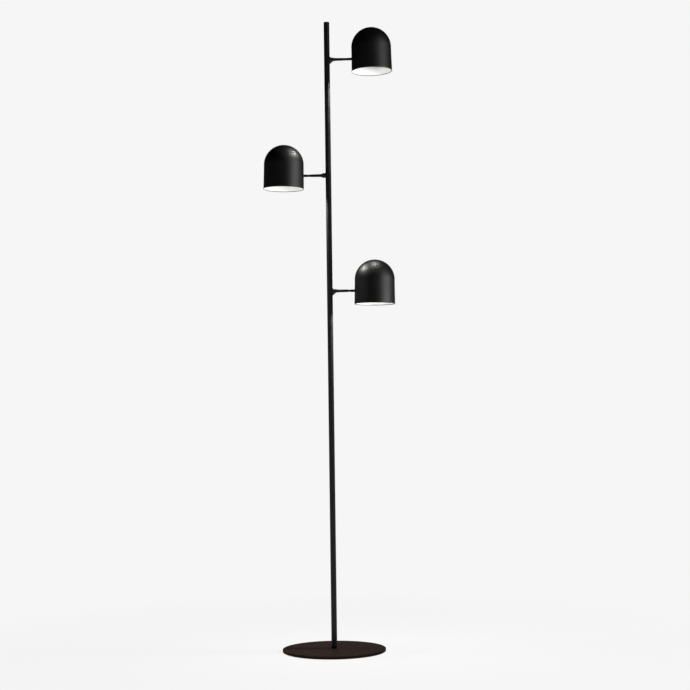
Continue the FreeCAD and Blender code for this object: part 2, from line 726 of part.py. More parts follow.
def make_stub(level):
    """Slotted tongue, round neck and hollow threaded spigot that holds the shade."""
    body = new_body(f"{level}_stub")
    bore = "(stub_bore / 2)"
    profile = new_sketch(body, "XZ_Plane")
    outline(
        profile,
        [
            (SHOULDER_X, bore),
            (SHOULDER_X, KNUCKLE_R),
            ("pivot_to_shade", KNUCKLE_R),
            ("pivot_to_shade", STUB_R),
            (f"({STUB_END} - edge_ease)", STUB_R),
            (STUB_END, f"({STUB_R} - edge_ease)"),
            (STUB_END, bore),
        ],
    )
    revolve(body, profile, "H_Axis")
    tongue = new_sketch(body, "XZ_Plane")
    outline(
        tongue,
        [
            (f"({SHOULDER_X} + tongue_root)", f"(0 - {TONGUE_R})"),
            (f"({SHOULDER_X} + tongue_root)", TONGUE_R),
            ("0", TONGUE_R),
            ("0", f"(0 - {TONGUE_R})", "y"),
        ],
        {2: (("0", "0"), 1)},
    )
    pad(body, tongue, TONGUE_THICKNESS, symmetric=True)
    slot = new_sketch(body, "XY_Plane")
    box_outline(
        slot,
        ("(0 - tongue_height)", "(0 - tongue_slot / 2)"),
        (f"({SHOULDER_X} + tongue_slot_root)", "(tongue_slot / 2)"),
    )
    cut(body, slot)
    hole = new_sketch(body, "XZ_Plane")
    circle(hole, "(pivot_screw_diameter / 2 + running_gap)")
    cut(body, hole)
    place_head_piece(body, level)


def make_shade(level):
    """Spun shade: a cylinder under a half-round dome, with a rounded rim and the stub's hole."""
    body = new_body(f"{level}_shade")
    inner = SHADE_INNER_R
    half_wall = "(shade_wall / 2)"
    profile = new_sketch(body, "XZ_Plane", (SHADE_AXIS, RIM_Z, "0"))
    outline(
        profile,
        [
            (inner, half_wall),
            (SHADE_R, half_wall, "x"),
            (SHADE_R, "shade_straight"),
            ("0", f"(shade_straight + {SHADE_R})", "y"),
            ("0", f"(shade_straight + {inner})"),
            (inner, "shade_straight", "x"),
        ],
        {
            0: ((f"({inner} + {half_wall})", half_wall), 1),
            2: (("0", "shade_straight"), 1),
            4: (("0", "shade_straight"), -1),
        },
    )
    revolve(body, profile)
    hole = new_sketch(body, "YZ_Plane")
    circle(hole, f"({STUB_R} + fixed_gap)")
    cut(body, hole, SHADE_AXIS, reverse=True)
    place_head_piece(body, level)


def make_strap(level):
    """Bent strap clamped inside the shade's wall, which carries the lampholder."""
    body = new_body(f"{level}_strap")
    lower_bend = f"({DOME_Z} - strap_thickness)"
    upper_bend = f"({SHADE_AXIS} - strap_shoulder)"
    top = f"({STRAP_Z} + strap_thickness)"
    far = f"({SHADE_AXIS} + strap_end)"
    slope = f"atan(({top} - {lower_bend}) / ({upper_bend} - {STRAP_SEAT}))"
    lower_mitre = f"(strap_thickness * (1 - sin({slope})) / cos({slope}))"
    upper_mitre = f"(strap_thickness * (1 / cos({slope}) - 1) / tan({slope}))"
    profile = new_sketch(body, "XZ_Plane")
    outline(
        profile,
        [
            (STRAP_SEAT, "(0 - strap_tail)"),
            (STRAP_INNER, "(0 - strap_tail)"),
            (STRAP_INNER, f"({lower_bend} - {lower_mitre})"),
            (f"({upper_bend} + {upper_mitre})", STRAP_Z),
            (far, STRAP_Z),
            (far, top),
            (upper_bend, top),
            (STRAP_SEAT, lower_bend),
        ],
    )
    pad(body, profile, "strap_width", symmetric=True)
    round_bends(body, (2, 3), "strap_bend")
    round_bends(body, (6, 7), "(strap_bend + strap_thickness)")
    stub_hole = new_sketch(body, "YZ_Plane")
    circle(stub_hole, f"({STUB_R} + fixed_gap)")
    cut(body, stub_hole, f"({STRAP_INNER} + cut_over)", reverse=True)
    screw_holes = new_sketch(body, "XY_Plane", (SHADE_AXIS, "0", "0"))
    for centre in SCREW_X:
        circle(screw_holes, "(holder_screw_diameter / 2 + fixed_gap)", (centre, "0"))
    cut(body, screw_holes, f"({top} + cut_over)", reverse=True)
    place_head_piece(body, level)


def round_bends(body, corners, radius):
    """Round the edges across the strap that stand at the profile's numbered corners."""
    doc.recompute()
    profile = body.Group[0]
    spots = [profile.Placement.multVec(profile.Geometry[corner].StartPoint) for corner in corners]
    names = []
    for index, edge in enumerate(body.Tip.Shape.Edges, start=1):
        middle = edge.CenterOfMass
        if any(math.hypot(middle.x - spot.x, middle.z - spot.z) < LENGTH_SLACK for spot in spots):
            names.append(f"Edge{index}")
    fillet = body.newObject("PartDesign::Fillet", f"{body.Name}_bends")
    fillet.Base = (body.Tip if fillet.BaseFeature is None else fillet.BaseFeature, names)
    fillet.setExpression("Radius", bound(radius))


def make_stub_washer(level):
    """Flat washer between the strap and the nut."""
    body = new_body(f"{level}_stub_washer")
    profile = new_sketch(body, "XZ_Plane")
    box_outline(
        profile,
        (STRAP_INNER, f"({STUB_R} + fixed_gap)"),
        (WASHER_INNER, "(stub_washer_diameter / 2)"),
    )
    revolve(body, profile, "H_Axis")
    place_head_piece(body, level)


def make_stub_nut(level):
    """Thin hexagon nut on the spigot."""
    body = new_body(f"{level}_stub_nut")
    profile = new_sketch(body, "YZ_Plane", ("0", "0", WASHER_INNER))
    hexagon(profile, "stub_nut_flats")
    circle(profile, f"({STUB_R} + fixed_gap)")
    pad(body, profile, "stub_nut_thickness")
    place_head_piece(body, level)


def make_holder(level):
    """Ceramic lampholder with two pin sockets, screw holes and a port for the leads."""
    body = new_body(f"{level}_holder")
    profile = new_sketch(body, "XZ_Plane", (SHADE_AXIS, HOLDER_Z, "0"))
    waist = f"({HOLDER_R} - holder_step)"
    outline(
        profile,
        [
            ("0", "0"),
            (f"({HOLDER_R} - edge_ease)", "0"),
            (HOLDER_R, "edge_ease"),
            (HOLDER_R, "holder_skirt"),
            (waist, "(holder_skirt + holder_step)"),
            (waist, "holder_length"),
            ("0", "holder_length"),
        ],
    )
    revolve(body, profile)
    sockets = new_sketch(body, "XY_Plane", (SHADE_AXIS, "0", HOLDER_Z))
    for side in ("pin_spacing / 2", "0 - pin_spacing / 2"):
        circle(sockets, "(pin_head_diameter / 2 + clear_gap)", ("0", side))
    cut(body, sockets, "(pin_length + pin_socket_end)", reverse=True)
    screw_holes = new_sketch(body, "XY_Plane", (SHADE_AXIS, "0", STRAP_Z))
    for centre in SCREW_X:
        circle(screw_holes, "(holder_screw_diameter / 2 + fixed_gap)", (centre, "0"))
    cut(body, screw_holes, "(holder_screw_length - strap_thickness + holder_screw_hole_end)")
    port = new_sketch(body, "YZ_Plane")
    half_width = "(lead_spacing / 2 + lead_diameter / 2 + clear_gap)"
    half_height = "(lead_diameter / 2 + clear_gap)"
    box_outline(
        port,
        (f"(0 - {half_width})", f"({PORT_Z} - {half_height})"),
        (half_width, f"({PORT_Z} + {half_height})"),
    )
    cut(body, port, f"({PORT_END} + fixed_gap)", reverse=True)
    place_head_piece(body, level)


def make_holder_screws(level):
    """Two pan-head screws through the strap into the lampholder."""
    body = new_body(f"{level}_holder_screws")
    tip = f"({STRAP_Z} + strap_thickness - holder_screw_length)"
    shanks = new_sketch(body, "XY_Plane", (SHADE_AXIS, "0", tip))
    heads = new_sketch(body, "XY_Plane", (SHADE_AXIS, "0", f"({STRAP_Z} + strap_thickness)"))
    for centre in SCREW_X:
        circle(shanks, "(holder_screw_diameter / 2)", (centre, "0"))
    pad(body, shanks, "holder_screw_length")
    for centre in SCREW_X:
        circle(heads, "(holder_screw_head / 2)", (centre, "0"))
    pad(body, heads, "holder_screw_head_height")
    place_head_piece(body, level)


def make_bulb_body(level):
    """Reflector bulb's body: a ring round the lens, a curved flank and a straight back."""
    body = new_body(f"{level}_bulb_body")
    face = "(bulb_diameter / 2)"
    back = "(bulb_back_diameter / 2)"
    recess = "(bulb_diameter / 2 - bulb_rim)"
    drop = f"({face} - {back})"
    flank_radius = f"((bulb_flank_height ^ 2 + {drop} ^ 2) / (2 * {drop}))"
    profile = new_sketch(body, "XZ_Plane", (SHADE_AXIS, BULB_FACE_Z, "0"))
    outline(
        profile,
        [
            ("0", "lens_thickness"),
            (recess, "lens_thickness"),
            (recess, "0"),
            (f"({face} - edge_ease)", "0"),
            (face, "edge_ease"),
            (face, "bulb_rim_height"),
            (back, "(bulb_rim_height + bulb_flank_height)", "x"),
            (back, "bulb_length"),
            ("0", "bulb_length"),
        ],
        {5: ((f"({face} - {flank_radius})", "bulb_rim_height"), 1)},
    )
    revolve(body, profile)
    place_head_piece(body, level)


def make_bulb_pins(level):
    """Two headed contact pins on the bulb's back."""
    body = new_body(f"{level}_bulb_pins")
    shanks = new_sketch(body, "XY_Plane", (SHADE_AXIS, "0", BULB_BACK_Z))
    for side in ("pin_spacing / 2", "0 - pin_spacing / 2"):
        circle(shanks, "(pin_diameter / 2)", ("0", side))
    pad(body, shanks, "pin_length")
    heads = new_sketch(body, "XY_Plane", (SHADE_AXIS, "0", f"({BULB_BACK_Z} + pin_length - pin_head_length)"))
    for side in ("pin_spacing / 2", "0 - pin_spacing / 2"):
        circle(heads, "(pin_head_diameter / 2)", ("0", side))
    pad(body, heads, "pin_head_length")
    place_head_piece(body, level)


def make_bulb_lens(level):
    """Slightly crowned lens set in the bulb's ring."""
    body = new_body(f"{level}_bulb_lens")
    edge = "(bulb_diameter / 2 - bulb_rim - fixed_gap)"
    crown_radius = f"(({edge} ^ 2 + lens_crown ^ 2) / (2 * lens_crown))"
    profile = new_sketch(body, "XZ_Plane", (SHADE_AXIS, BULB_FACE_Z, "0"))
    outline(
        profile,
        [
            ("0", "(0 - lens_crown)"),
            (edge, "0", "x"),
            (edge, "lens_thickness"),
            ("0", "lens_thickness"),
        ],
        {0: (("0", f"({crown_radius} - lens_crown)"), 1)},
    )
    revolve(body, profile)
    place_head_piece(body, level)


# ---------------------------------------------------------------------------------------------------
# Leads
# ---------------------------------------------------------------------------------------------------


def add_shape(label, shape):
    """Add a sub-part whose shape is made by code."""
    feature = doc.addObject("Part::Feature", label)
    feature.Label = label
    feature.Shape = shape
    PARTS.append(feature)
    return feature


def core(points, bend):
    """Make one insulated core: straight runs through the points, joined by tangent quarter arcs."""
    radius = value("lead_diameter / 2")
    edges = []
    start = points[0]
    for before, corner, after in zip(points, points[1:], points[2:]):
        back = (before - corner).normalize()
        ahead = (after - corner).normalize()
        first = corner + back * bend
        last = corner + ahead * bend
        middle = corner + (back + ahead) * bend * (1 - math.sqrt(0.5))
        edges.append(Part.LineSegment(start, first).toShape())
        edges.append(Part.Arc(first, middle, last).toShape())
        start = last
    edges.append(Part.LineSegment(start, points[-1]).toShape())
    path = Part.Wire(edges)
    section = Part.Wire(Part.Circle(points[0], points[1] - points[0], radius).toShape())
    tube = path.makePipeShell([section], True, False)
    solid = tube.Solids[0]
    expected = math.pi * radius**2 * path.Length
    if abs(solid.Volume - expected) > CORE_SLACK * expected:
        raise ValueError("a core's volume isn't its section times its length")
    return solid


def pair(label, points, bend):
    """Make the two cores of a pair, side by side along Y."""
    cores = []
    for side in (-1, 1):
        offset = FreeCAD.Vector(0, side * value("lead_spacing / 2"), 0)
        cores.append(core([FreeCAD.Vector(*point) + offset for point in points], value(bend)))
    return add_shape(label, Part.Compound(cores))


def make_leads(level):
    """Pair from the splice up the pole, through the hub and along the arm's bore."""
    x = value(LEAD_X[level])
    height = value(ARM_Z[level])
    start = value(f"({SPLICE_TOP} - lead_insertion)")
    end = SIDES[level] * value(f"({PIVOT_U} - {TONGUE_R} - clear_gap - lead_end_gap)")
    pair(f"{level}_leads", [(x, 0, start), (x, 0, height), (end, 0, height)], "lead_bend")


def make_head_leads(level):
    """Pair from the stub's bore, up beside the bulb and into the lampholder's port."""
    start = value(f"({SHOULDER_X} + head_lead_inset)")
    rise = value(f"({STUB_END} + 2 * head_lead_bend)")
    port = value(PORT_Z)
    end = value(f"({PORT_END} - clear_gap)")
    points = [(start, 0, 0), (rise, 0, 0), (rise, 0, port), (end, 0, port)]
    leads = pair(f"{level}_head_leads", points, "head_lead_bend")
    place_head_piece(leads, level)


# ---------------------------------------------------------------------------------------------------
# Build, check and write
# ---------------------------------------------------------------------------------------------------


def build():
    """Make every sub-part."""
    ring(
        "base_pad",
        "(base_screw_head / 2 + foot_pad_inset)",
        f"({BASE_R} - foot_pad_inset)",
        "0",
        "foot_pad_thickness",
    )
    make_base_plate()
    make_base_screw()
    make_foot_insert()
    make_lower_pole()
    make_coupler()
    make_upper_pole()
    make_cap()
    make_gland()
    make_splice()
    make_hub_screws()
    for level in SIDES:
        make_hub(level)
        make_arm(level)
        make_swivel_washer(level)
        make_pivot_screw(level)
        make_leads(level)
        make_stub(level)
        make_shade(level)
        make_strap(level)
        make_stub_washer(level)
        make_stub_nut(level)
        make_holder(level)
        make_holder_screws(level)
        make_bulb_body(level)
        make_bulb_pins(level)
        make_bulb_lens(level)
        make_head_leads(level)
    doc.recompute()


def check():
    """Stop if any object failed or any sub-part has no valid solid."""
    failed = [item.Name for item in doc.Objects if {"Invalid", "Error"} & set(item.State)]
    empty = [
        part.Label
        for part in PARTS
        if part.Shape.isNull() or not part.Shape.isValid() or not part.Shape.Solids
    ]
    if failed or empty:
        raise ValueError(f"failed: {failed}, empty or not valid: {empty}")


def write():
    """Write each sub-part's STEP file."""
    os.makedirs("parts", exist_ok=True)
    for part in PARTS:
        part.Shape.exportStep(f"parts/{part.Label}.step")
        print(f"{part.Label}: {len(part.Shape.Solids)} solid(s), {part.Shape.Volume:.1f} mm3")
    print(f"{len(PARTS)} sub-parts")


build()
check()
write()
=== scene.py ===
"""Visual model of a tree floor lamp: a disc base, a slender pole and three short arms with lit dome shades.

Lengths are in metres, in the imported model's frame: the origin is the centre of the base on the floor,
+Z is up, and the arms lie along X.
"""

from __future__ import annotations

import logging
import math
from collections.abc import Callable, Mapping, Sequence
from dataclasses import dataclass
from enum import Enum
from typing import NamedTuple

import bmesh
import bpy
from mathutils import Matrix, Vector

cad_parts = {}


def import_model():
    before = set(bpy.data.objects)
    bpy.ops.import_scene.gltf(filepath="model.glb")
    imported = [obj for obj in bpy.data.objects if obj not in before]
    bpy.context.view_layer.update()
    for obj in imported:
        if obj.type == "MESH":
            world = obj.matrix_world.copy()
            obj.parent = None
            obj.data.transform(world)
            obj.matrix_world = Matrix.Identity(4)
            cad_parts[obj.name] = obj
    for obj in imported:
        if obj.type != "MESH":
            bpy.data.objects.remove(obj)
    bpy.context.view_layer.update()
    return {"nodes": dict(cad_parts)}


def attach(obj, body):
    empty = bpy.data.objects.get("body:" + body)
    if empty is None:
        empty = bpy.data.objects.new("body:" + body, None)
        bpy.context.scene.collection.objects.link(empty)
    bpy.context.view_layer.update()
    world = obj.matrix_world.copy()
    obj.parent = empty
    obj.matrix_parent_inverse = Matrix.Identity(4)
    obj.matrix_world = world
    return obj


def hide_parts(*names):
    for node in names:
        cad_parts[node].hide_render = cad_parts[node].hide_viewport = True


log = logging.getLogger("lamp")

MM = 0.001
ON_AXIS = 1e-7  # a turned point nearer the axis than this lies on it
SHARP_TURN = 40.0  # degrees between faces, past which an edge is sharp
DISC_SHARP_TURN = 50.0  # the same for a plate with a dimpled front

Point = tuple[float, float]
Colour = tuple[float, float, float, float]


# ----------------------------------------------------------------------------------------------------
# Colour and node helpers
# ----------------------------------------------------------------------------------------------------


def linear(hex_colour: str) -> Colour:
    """Turn an sRGB colour into the linear one that a shader takes.

    Args:
        hex_colour: six hexadecimal digits after a number sign.

    Returns:
        Red, green, blue and an alpha of 1.
    """
    parts = [int(hex_colour[place : place + 2], 16) / 255 for place in (1, 3, 5)]
    red, green, blue = (
        part / 12.92 if part <= 0.04045 else ((part + 0.055) / 1.055) ** 2.4 for part in parts
    )
    return red, green, blue, 1.0


def add_node(
    tree: bpy.types.NodeTree,
    kind: str,
    sockets: Mapping[str | int, object] | None = None,
    **settings: object,
) -> bpy.types.Node:
    """Add a node with its settings, and fill its sockets with values or links.

    Args:
        tree: the node tree that gets the node.
        kind: the node's type.
        sockets: socket name or index to a value, or to another node's output that is linked to it.
        settings: the node's own properties.

    Returns:
        The new node.
    """
    node = tree.nodes.new(kind)
    for name, value in settings.items():
        setattr(node, name, value)
    for key, value in (sockets or {}).items():
        socket = node.inputs[key]
        if isinstance(value, bpy.types.NodeSocket):
            tree.links.new(value, socket)
        else:
            socket.default_value = value
    return node


def per_metre(size_mm: float) -> float:
    """Return the texture scale at which a pattern repeats about every size_mm."""
    return 1 / (size_mm * MM)


# ----------------------------------------------------------------------------------------------------
# Finishes
# ----------------------------------------------------------------------------------------------------


@dataclass(frozen=True)
class Finish:
    """What every finish has: the material's name, its colour and its roughness."""

    name: str
    colour: str
    roughness: float

    def material(self) -> bpy.types.Material:
        """Make the finish's material the first time it is asked for.

        Returns:
            The material.
        """
        made = bpy.data.materials.get(self.name)
        if made is None:
            made = bpy.data.materials.new(self.name)
            made.use_nodes = True
            made.diffuse_color = linear(self.colour)
            shader = made.node_tree.nodes["Principled BSDF"]
            shader.inputs["Base Color"].default_value = linear(self.colour)
            shader.inputs["Roughness"].default_value = self.roughness
            self.detail(made.node_tree, shader)
        return made

    def detail(self, tree: bpy.types.NodeTree, shader: bpy.types.Node) -> None:
        """Add the finish's own nodes to the shader.

        Args:
            tree: the material's node tree.
            shader: its Principled node.
        """
        raise NotImplementedError


@dataclass(frozen=True)
class DriftingFinish(Finish):
    """A finish whose tone and gloss drift slowly over the surface, as on any real skin."""

    other: str  # the colour that it drifts towards
    patch_mm: float  # about how large a patch is
    gloss_drift: float  # how far the roughness goes to each side of the finish's own

    def mottle(self, tree: bpy.types.NodeTree, shader: bpy.types.Node) -> bpy.types.Node:
        """Vary the colour and the roughness slowly over the surface.

        Args:
            tree: the material's node tree.
            shader: its Principled node.

        Returns:
            The coordinate node, for the finish's other patterns.
        """
        place = add_node(tree, "ShaderNodeTexCoord")
        patches = add_node(
            tree,
            "ShaderNodeTexNoise",
            {
                "Vector": place.outputs["Object"],
                "Scale": per_metre(self.patch_mm),
                "Detail": 4.0,
                "Roughness": 0.6,
            },
        )
        tint = add_node(
            tree,
            "ShaderNodeMix",
            {0: patches.outputs["Fac"], 6: linear(self.colour), 7: linear(self.other)},
            data_type="RGBA",
        )
        gloss = add_node(
            tree,
            "ShaderNodeMapRange",
            {
                "Value": patches.outputs["Fac"],
                "From Min": 0.3,
                "From Max": 0.7,
                "To Min": self.roughness - self.gloss_drift,
                "To Max": self.roughness + self.gloss_drift,
            },
        )
        tree.links.new(tint.outputs[2], shader.inputs["Base Color"])
        tree.links.new(gloss.outputs["Result"], shader.inputs["Roughness"])
        return place


@dataclass(frozen=True)
class PowderCoat(DriftingFinish):
    """Polyester powder baked on steel: an even skin with the soft dimples of orange peel."""

    other: str = "#090909"
    patch_mm: float = 45.0
    gloss_drift: float = 0.05
    peel_mm: float = 1.6  # real peel is nearer 0.8 mm, drawn coarser so that it shows
    peel_depth_mm: float = 0.012
    peel_strength: float = 0.35
    specular: float = 0.5

    def detail(self, tree: bpy.types.NodeTree, shader: bpy.types.Node) -> None:
        """Dimple the skin and let its tone drift.

        Args:
            tree: the material's node tree.
            shader: its Principled node.
        """
        place = self.mottle(tree, shader)
        peel = add_node(
            tree,
            "ShaderNodeTexNoise",
            {"Vector": place.outputs["Object"], "Scale": per_metre(self.peel_mm), "Detail": 2.0},
        )
        bump = add_node(
            tree,
            "ShaderNodeBump",
            {
                "Height": peel.outputs["Fac"],
                "Strength": self.peel_strength,
                "Distance": self.peel_depth_mm * MM,
            },
        )
        tree.links.new(bump.outputs["Normal"], shader.inputs["Normal"])
        shader.inputs["Specular IOR Level"].default_value = self.specular


@dataclass(frozen=True)
class SpunLacquer(DriftingFinish):
    """Satin lacquer over spun sheet: faint rings from the spinning roller under a smooth film."""

    other: str = "#050505"
    patch_mm: float = 60.0
    gloss_drift: float = 0.03
    ring_mm: float = 2.4  # real roller marks are nearer 0.5 mm, drawn coarser so that they show
    ring_depth_mm: float = 0.004
    ring_strength: float = 0.3
    ring_wander: float = 0.4
    dome_start: float = 27 * MM
    dome_rise: float = 49 * MM
    specular: float = 0.19

    def detail(self, tree: bpy.types.NodeTree, shader: bpy.types.Node) -> None:
        """Ring the cylinder along its height and the dome about its crown.

        Args:
            tree: the material's node tree.
            shader: its Principled node.
        """
        place = self.mottle(tree, shader)
        shader.inputs["Specular IOR Level"].default_value = self.specular
        common = {
            "Vector": place.outputs["Object"],
            "Scale": per_metre(self.ring_mm) / math.tau,
            "Distortion": self.ring_wander,
            "Detail": 1.0,
        }
        bands = add_node(tree, "ShaderNodeTexWave", common, wave_type="BANDS", bands_direction="Z")
        rings = add_node(tree, "ShaderNodeTexWave", common, wave_type="RINGS", rings_direction="Z")
        split = add_node(tree, "ShaderNodeSeparateXYZ", {"Vector": place.outputs["Object"]})
        share = add_node(
            tree,
            "ShaderNodeMapRange",
            {
                "Value": split.outputs["Z"],
                "From Min": self.dome_start,
                "From Max": self.dome_start + self.dome_rise,
            },
        )
        marks = add_node(
            tree,
            "ShaderNodeMix",
            {0: share.outputs["Result"], 2: bands.outputs["Fac"], 3: rings.outputs["Fac"]},
        )
        bump = add_node(
            tree,
            "ShaderNodeBump",
            {
                "Height": marks.outputs[0],
                "Strength": self.ring_strength,
                "Distance": self.ring_depth_mm * MM,
            },
        )
        tree.links.new(bump.outputs["Normal"], shader.inputs["Normal"])


@dataclass(frozen=True)
class BakedEnamel(DriftingFinish):
    """White stoving enamel inside a shade: bright, nearly matt, slightly wavy where it pooled."""

    other: str = "#F0F0EE"
    patch_mm: float = 25.0
    gloss_drift: float = 0.05
    wave_mm: float = 3.0
    wave_depth_mm: float = 0.02
    wave_strength: float = 0.2

    def detail(self, tree: bpy.types.NodeTree, shader: bpy.types.Node) -> None:
        """Wave the film a little.

        Args:
            tree: the material's node tree.
            shader: its Principled node.
        """
        place = self.mottle(tree, shader)
        waves = add_node(
            tree,
            "ShaderNodeTexNoise",
            {"Vector": place.outputs["Object"], "Scale": per_metre(self.wave_mm), "Detail": 2.0},
        )
        bump = add_node(
            tree,
            "ShaderNodeBump",
            {
                "Height": waves.outputs["Fac"],
                "Strength": self.wave_strength,
                "Distance": self.wave_depth_mm * MM,
            },
        )
        tree.links.new(bump.outputs["Normal"], shader.inputs["Normal"])


@dataclass(frozen=True)
class PlatedMetal(DriftingFinish):
    """Electroplated or blackened steel: cloudy gloss and fine drawn scratches."""

    other: str = "#A9ADB0"
    patch_mm: float = 6.0
    gloss_drift: float = 0.08
    scratch_mm: float = 0.6
    scratch_stretch: float = 0.15  # of the pattern's scale along the drawing direction
    scratch_depth_mm: float = 0.01
    scratch_strength: float = 0.2

    def detail(self, tree: bpy.types.NodeTree, shader: bpy.types.Node) -> None:
        """Cloud the plating and scratch it finely.

        Args:
            tree: the material's node tree.
            shader: its Principled node.
        """
        shader.inputs["Metallic"].default_value = 1.0
        place = self.mottle(tree, shader)
        stretched = add_node(
            tree,
            "ShaderNodeMapping",
            {"Vector": place.outputs["Object"], "Scale": (1.0, 1.0, self.scratch_stretch)},
        )
        scratches = add_node(
            tree,
            "ShaderNodeTexNoise",
            {"Vector": stretched.outputs["Vector"], "Scale": per_metre(self.scratch_mm), "Detail": 3.0},
        )
        bump = add_node(
            tree,
            "ShaderNodeBump",
            {
                "Height": scratches.outputs["Fac"],
                "Strength": self.scratch_strength,
                "Distance": self.scratch_depth_mm * MM,
            },
        )
        tree.links.new(bump.outputs["Normal"], shader.inputs["Normal"])


@dataclass(frozen=True)
class MouldedPolymer(DriftingFinish):
    """Moulded nylon or silicone: the fine matt grain of a spark-eroded tool."""

    other: str = "#1B1B1C"
    patch_mm: float = 8.0
    gloss_drift: float = 0.04
    grain_mm: float = 0.5
    grain_depth_mm: float = 0.02
    grain_strength: float = 0.3

    def detail(self, tree: bpy.types.NodeTree, shader: bpy.types.Node) -> None:
        """Grain the skin.

        Args:
            tree: the material's node tree.
            shader: its Principled node.
        """
        place = self.mottle(tree, shader)
        grain = add_node(
            tree,
            "ShaderNodeTexNoise",
            {"Vector": place.outputs["Object"], "Scale": per_metre(self.grain_mm), "Detail": 3.0},
        )
        bump = add_node(
            tree,
            "ShaderNodeBump",
            {
                "Height": grain.outputs["Fac"],
                "Strength": self.grain_strength,
                "Distance": self.grain_depth_mm * MM,
            },
        )
        tree.links.new(bump.outputs["Normal"], shader.inputs["Normal"])


@dataclass(frozen=True)
class CellFoam(DriftingFinish):
    """Closed-cell foam sheet: small round cells cut open at the face, with no gloss."""

    other: str = "#2B2A2A"
    patch_mm: float = 12.0
    gloss_drift: float = 0.03
    cell_mm: float = 1.2
    cell_depth_mm: float = 0.15
    cell_strength: float = 0.6

    def detail(self, tree: bpy.types.NodeTree, shader: bpy.types.Node) -> None:
        """Cut the cells open.

        Args:
            tree: the material's node tree.
            shader: its Principled node.
        """
        place = self.mottle(tree, shader)
        cells = add_node(
            tree,
            "ShaderNodeTexVoronoi",
            {"Vector": place.outputs["Object"], "Scale": per_metre(self.cell_mm)},
        )
        bump = add_node(
            tree,
            "ShaderNodeBump",
            {
                "Height": cells.outputs["Distance"],
                "Strength": self.cell_strength,
                "Distance": self.cell_depth_mm * MM,
            },
        )
        tree.links.new(bump.outputs["Normal"], shader.inputs["Normal"])


@dataclass(frozen=True)
class GlazedSteatite(DriftingFinish):
    """Fired steatite under a thin clear glaze: cream body with sharp gloss, slightly lumpy."""

    other: str = "#D9D2C2"
    patch_mm: float = 10.0
    gloss_drift: float = 0.05
    lump_mm: float = 1.5
    lump_depth_mm: float = 0.05
    lump_strength: float = 0.15
    glaze_weight: float = 0.7
    glaze_roughness: float = 0.06

    def detail(self, tree: bpy.types.NodeTree, shader: bpy.types.Node) -> None:
        """Roughen the body a little and glaze it.

        Args:
            tree: the material's node tree.
            shader: its Principled node.
        """
        place = self.mottle(tree, shader)
        lumps = add_node(
            tree,
            "ShaderNodeTexNoise",
            {"Vector": place.outputs["Object"], "Scale": per_metre(self.lump_mm), "Detail": 5.0},
        )
        bump = add_node(
            tree,
            "ShaderNodeBump",
            {
                "Height": lumps.outputs["Fac"],
                "Strength": self.lump_strength,
                "Distance": self.lump_depth_mm * MM,
            },
        )
        tree.links.new(bump.outputs["Normal"], shader.inputs["Normal"])
        shader.inputs["Coat Weight"].default_value = self.glaze_weight
        shader.inputs["Coat Roughness"].default_value = self.glaze_roughness


@dataclass(frozen=True)
class MirroredGlass(DriftingFinish):
    """Pressed glass with an aluminium mirror behind it: silver, seen through a clear wavy skin."""

    other: str = "#B4B8BC"
    patch_mm: float = 9.0
    gloss_drift: float = 0.04
    mirror_share: float = 0.85
    skin_roughness: float = 0.03
    wave_mm: float = 4.0
    wave_depth_mm: float = 0.2
    wave_strength: float = 0.4

    def detail(self, tree: bpy.types.NodeTree, shader: bpy.types.Node) -> None:
        """Wave the pressed skin and add the clear glass over the mirror.

        Args:
            tree: the material's node tree.
            shader: its Principled node.
        """
        shader.inputs["Metallic"].default_value = self.mirror_share
        shader.inputs["Coat Weight"].default_value = 1.0
        shader.inputs["Coat Roughness"].default_value = self.skin_roughness
        place = self.mottle(tree, shader)
        waves = add_node(
            tree,
            "ShaderNodeTexNoise",
            {"Vector": place.outputs["Object"], "Scale": per_metre(self.wave_mm), "Detail": 1.0},
        )
        bump = add_node(
            tree,
            "ShaderNodeBump",
            {
                "Height": waves.outputs["Fac"],
                "Strength": self.wave_strength,
                "Distance": self.wave_depth_mm * MM,
            },
        )
        tree.links.new(bump.outputs["Normal"], shader.inputs["Normal"])


@dataclass(frozen=True)
class LitLens(Finish):
    """Pressed glass lens with the lamp on behind it: even glow, brighter over each lenslet."""

    glow: str = "#FFFEFC"
    between: str = "#C9C4B8"  # the glow between the lenslets
    lenslet_mm: float = 3.6
    lenslet_scatter: float = 0.1
    strength: float = 0.55
    gloss_weight: float = 0.5

    def detail(self, tree: bpy.types.NodeTree, shader: bpy.types.Node) -> None:
        """Light the lens, and let each lenslet show.

        Args:
            tree: the material's node tree.
            shader: its Principled node.
        """
        place = add_node(tree, "ShaderNodeTexCoord")
        lenslets = add_node(
            tree,
            "ShaderNodeTexVoronoi",
            {
                "Vector": place.outputs["Object"],
                "Scale": per_metre(self.lenslet_mm),
                "Randomness": self.lenslet_scatter,
            },
        )
        glow = add_node(
            tree,
            "ShaderNodeMix",
            {0: lenslets.outputs["Distance"], 6: linear(self.glow), 7: linear(self.between)},
            data_type="RGBA",
        )
        tree.links.new(glow.outputs[2], shader.inputs["Emission Color"])
        shader.inputs["Emission Strength"].default_value = self.strength
        shader.inputs["Coat Weight"].default_value = self.gloss_weight


# Satin powder on the drawn tube: black, with a soft line of light where a lamp shines on it.
BLACK_POLE_COAT = PowderCoat("Pole_black_satin_powder_coat", "#050505", 0.42, specular=0.34)

# Matt powder on the plate: dull and faintly brown, without highlights.
BLACK_BASE_COAT = PowderCoat("Base_black_matt_powder_coat", "#1D1412", 0.78, other="#241815", specular=0.04)

# Satin powder on the small arm parts: the pole's black, with a finer peel to suit their size.
BLACK_ARM_COAT = PowderCoat("Arm_black_satin_powder_coat", "#050505", 0.45, peel_mm=1.0, specular=0.15)

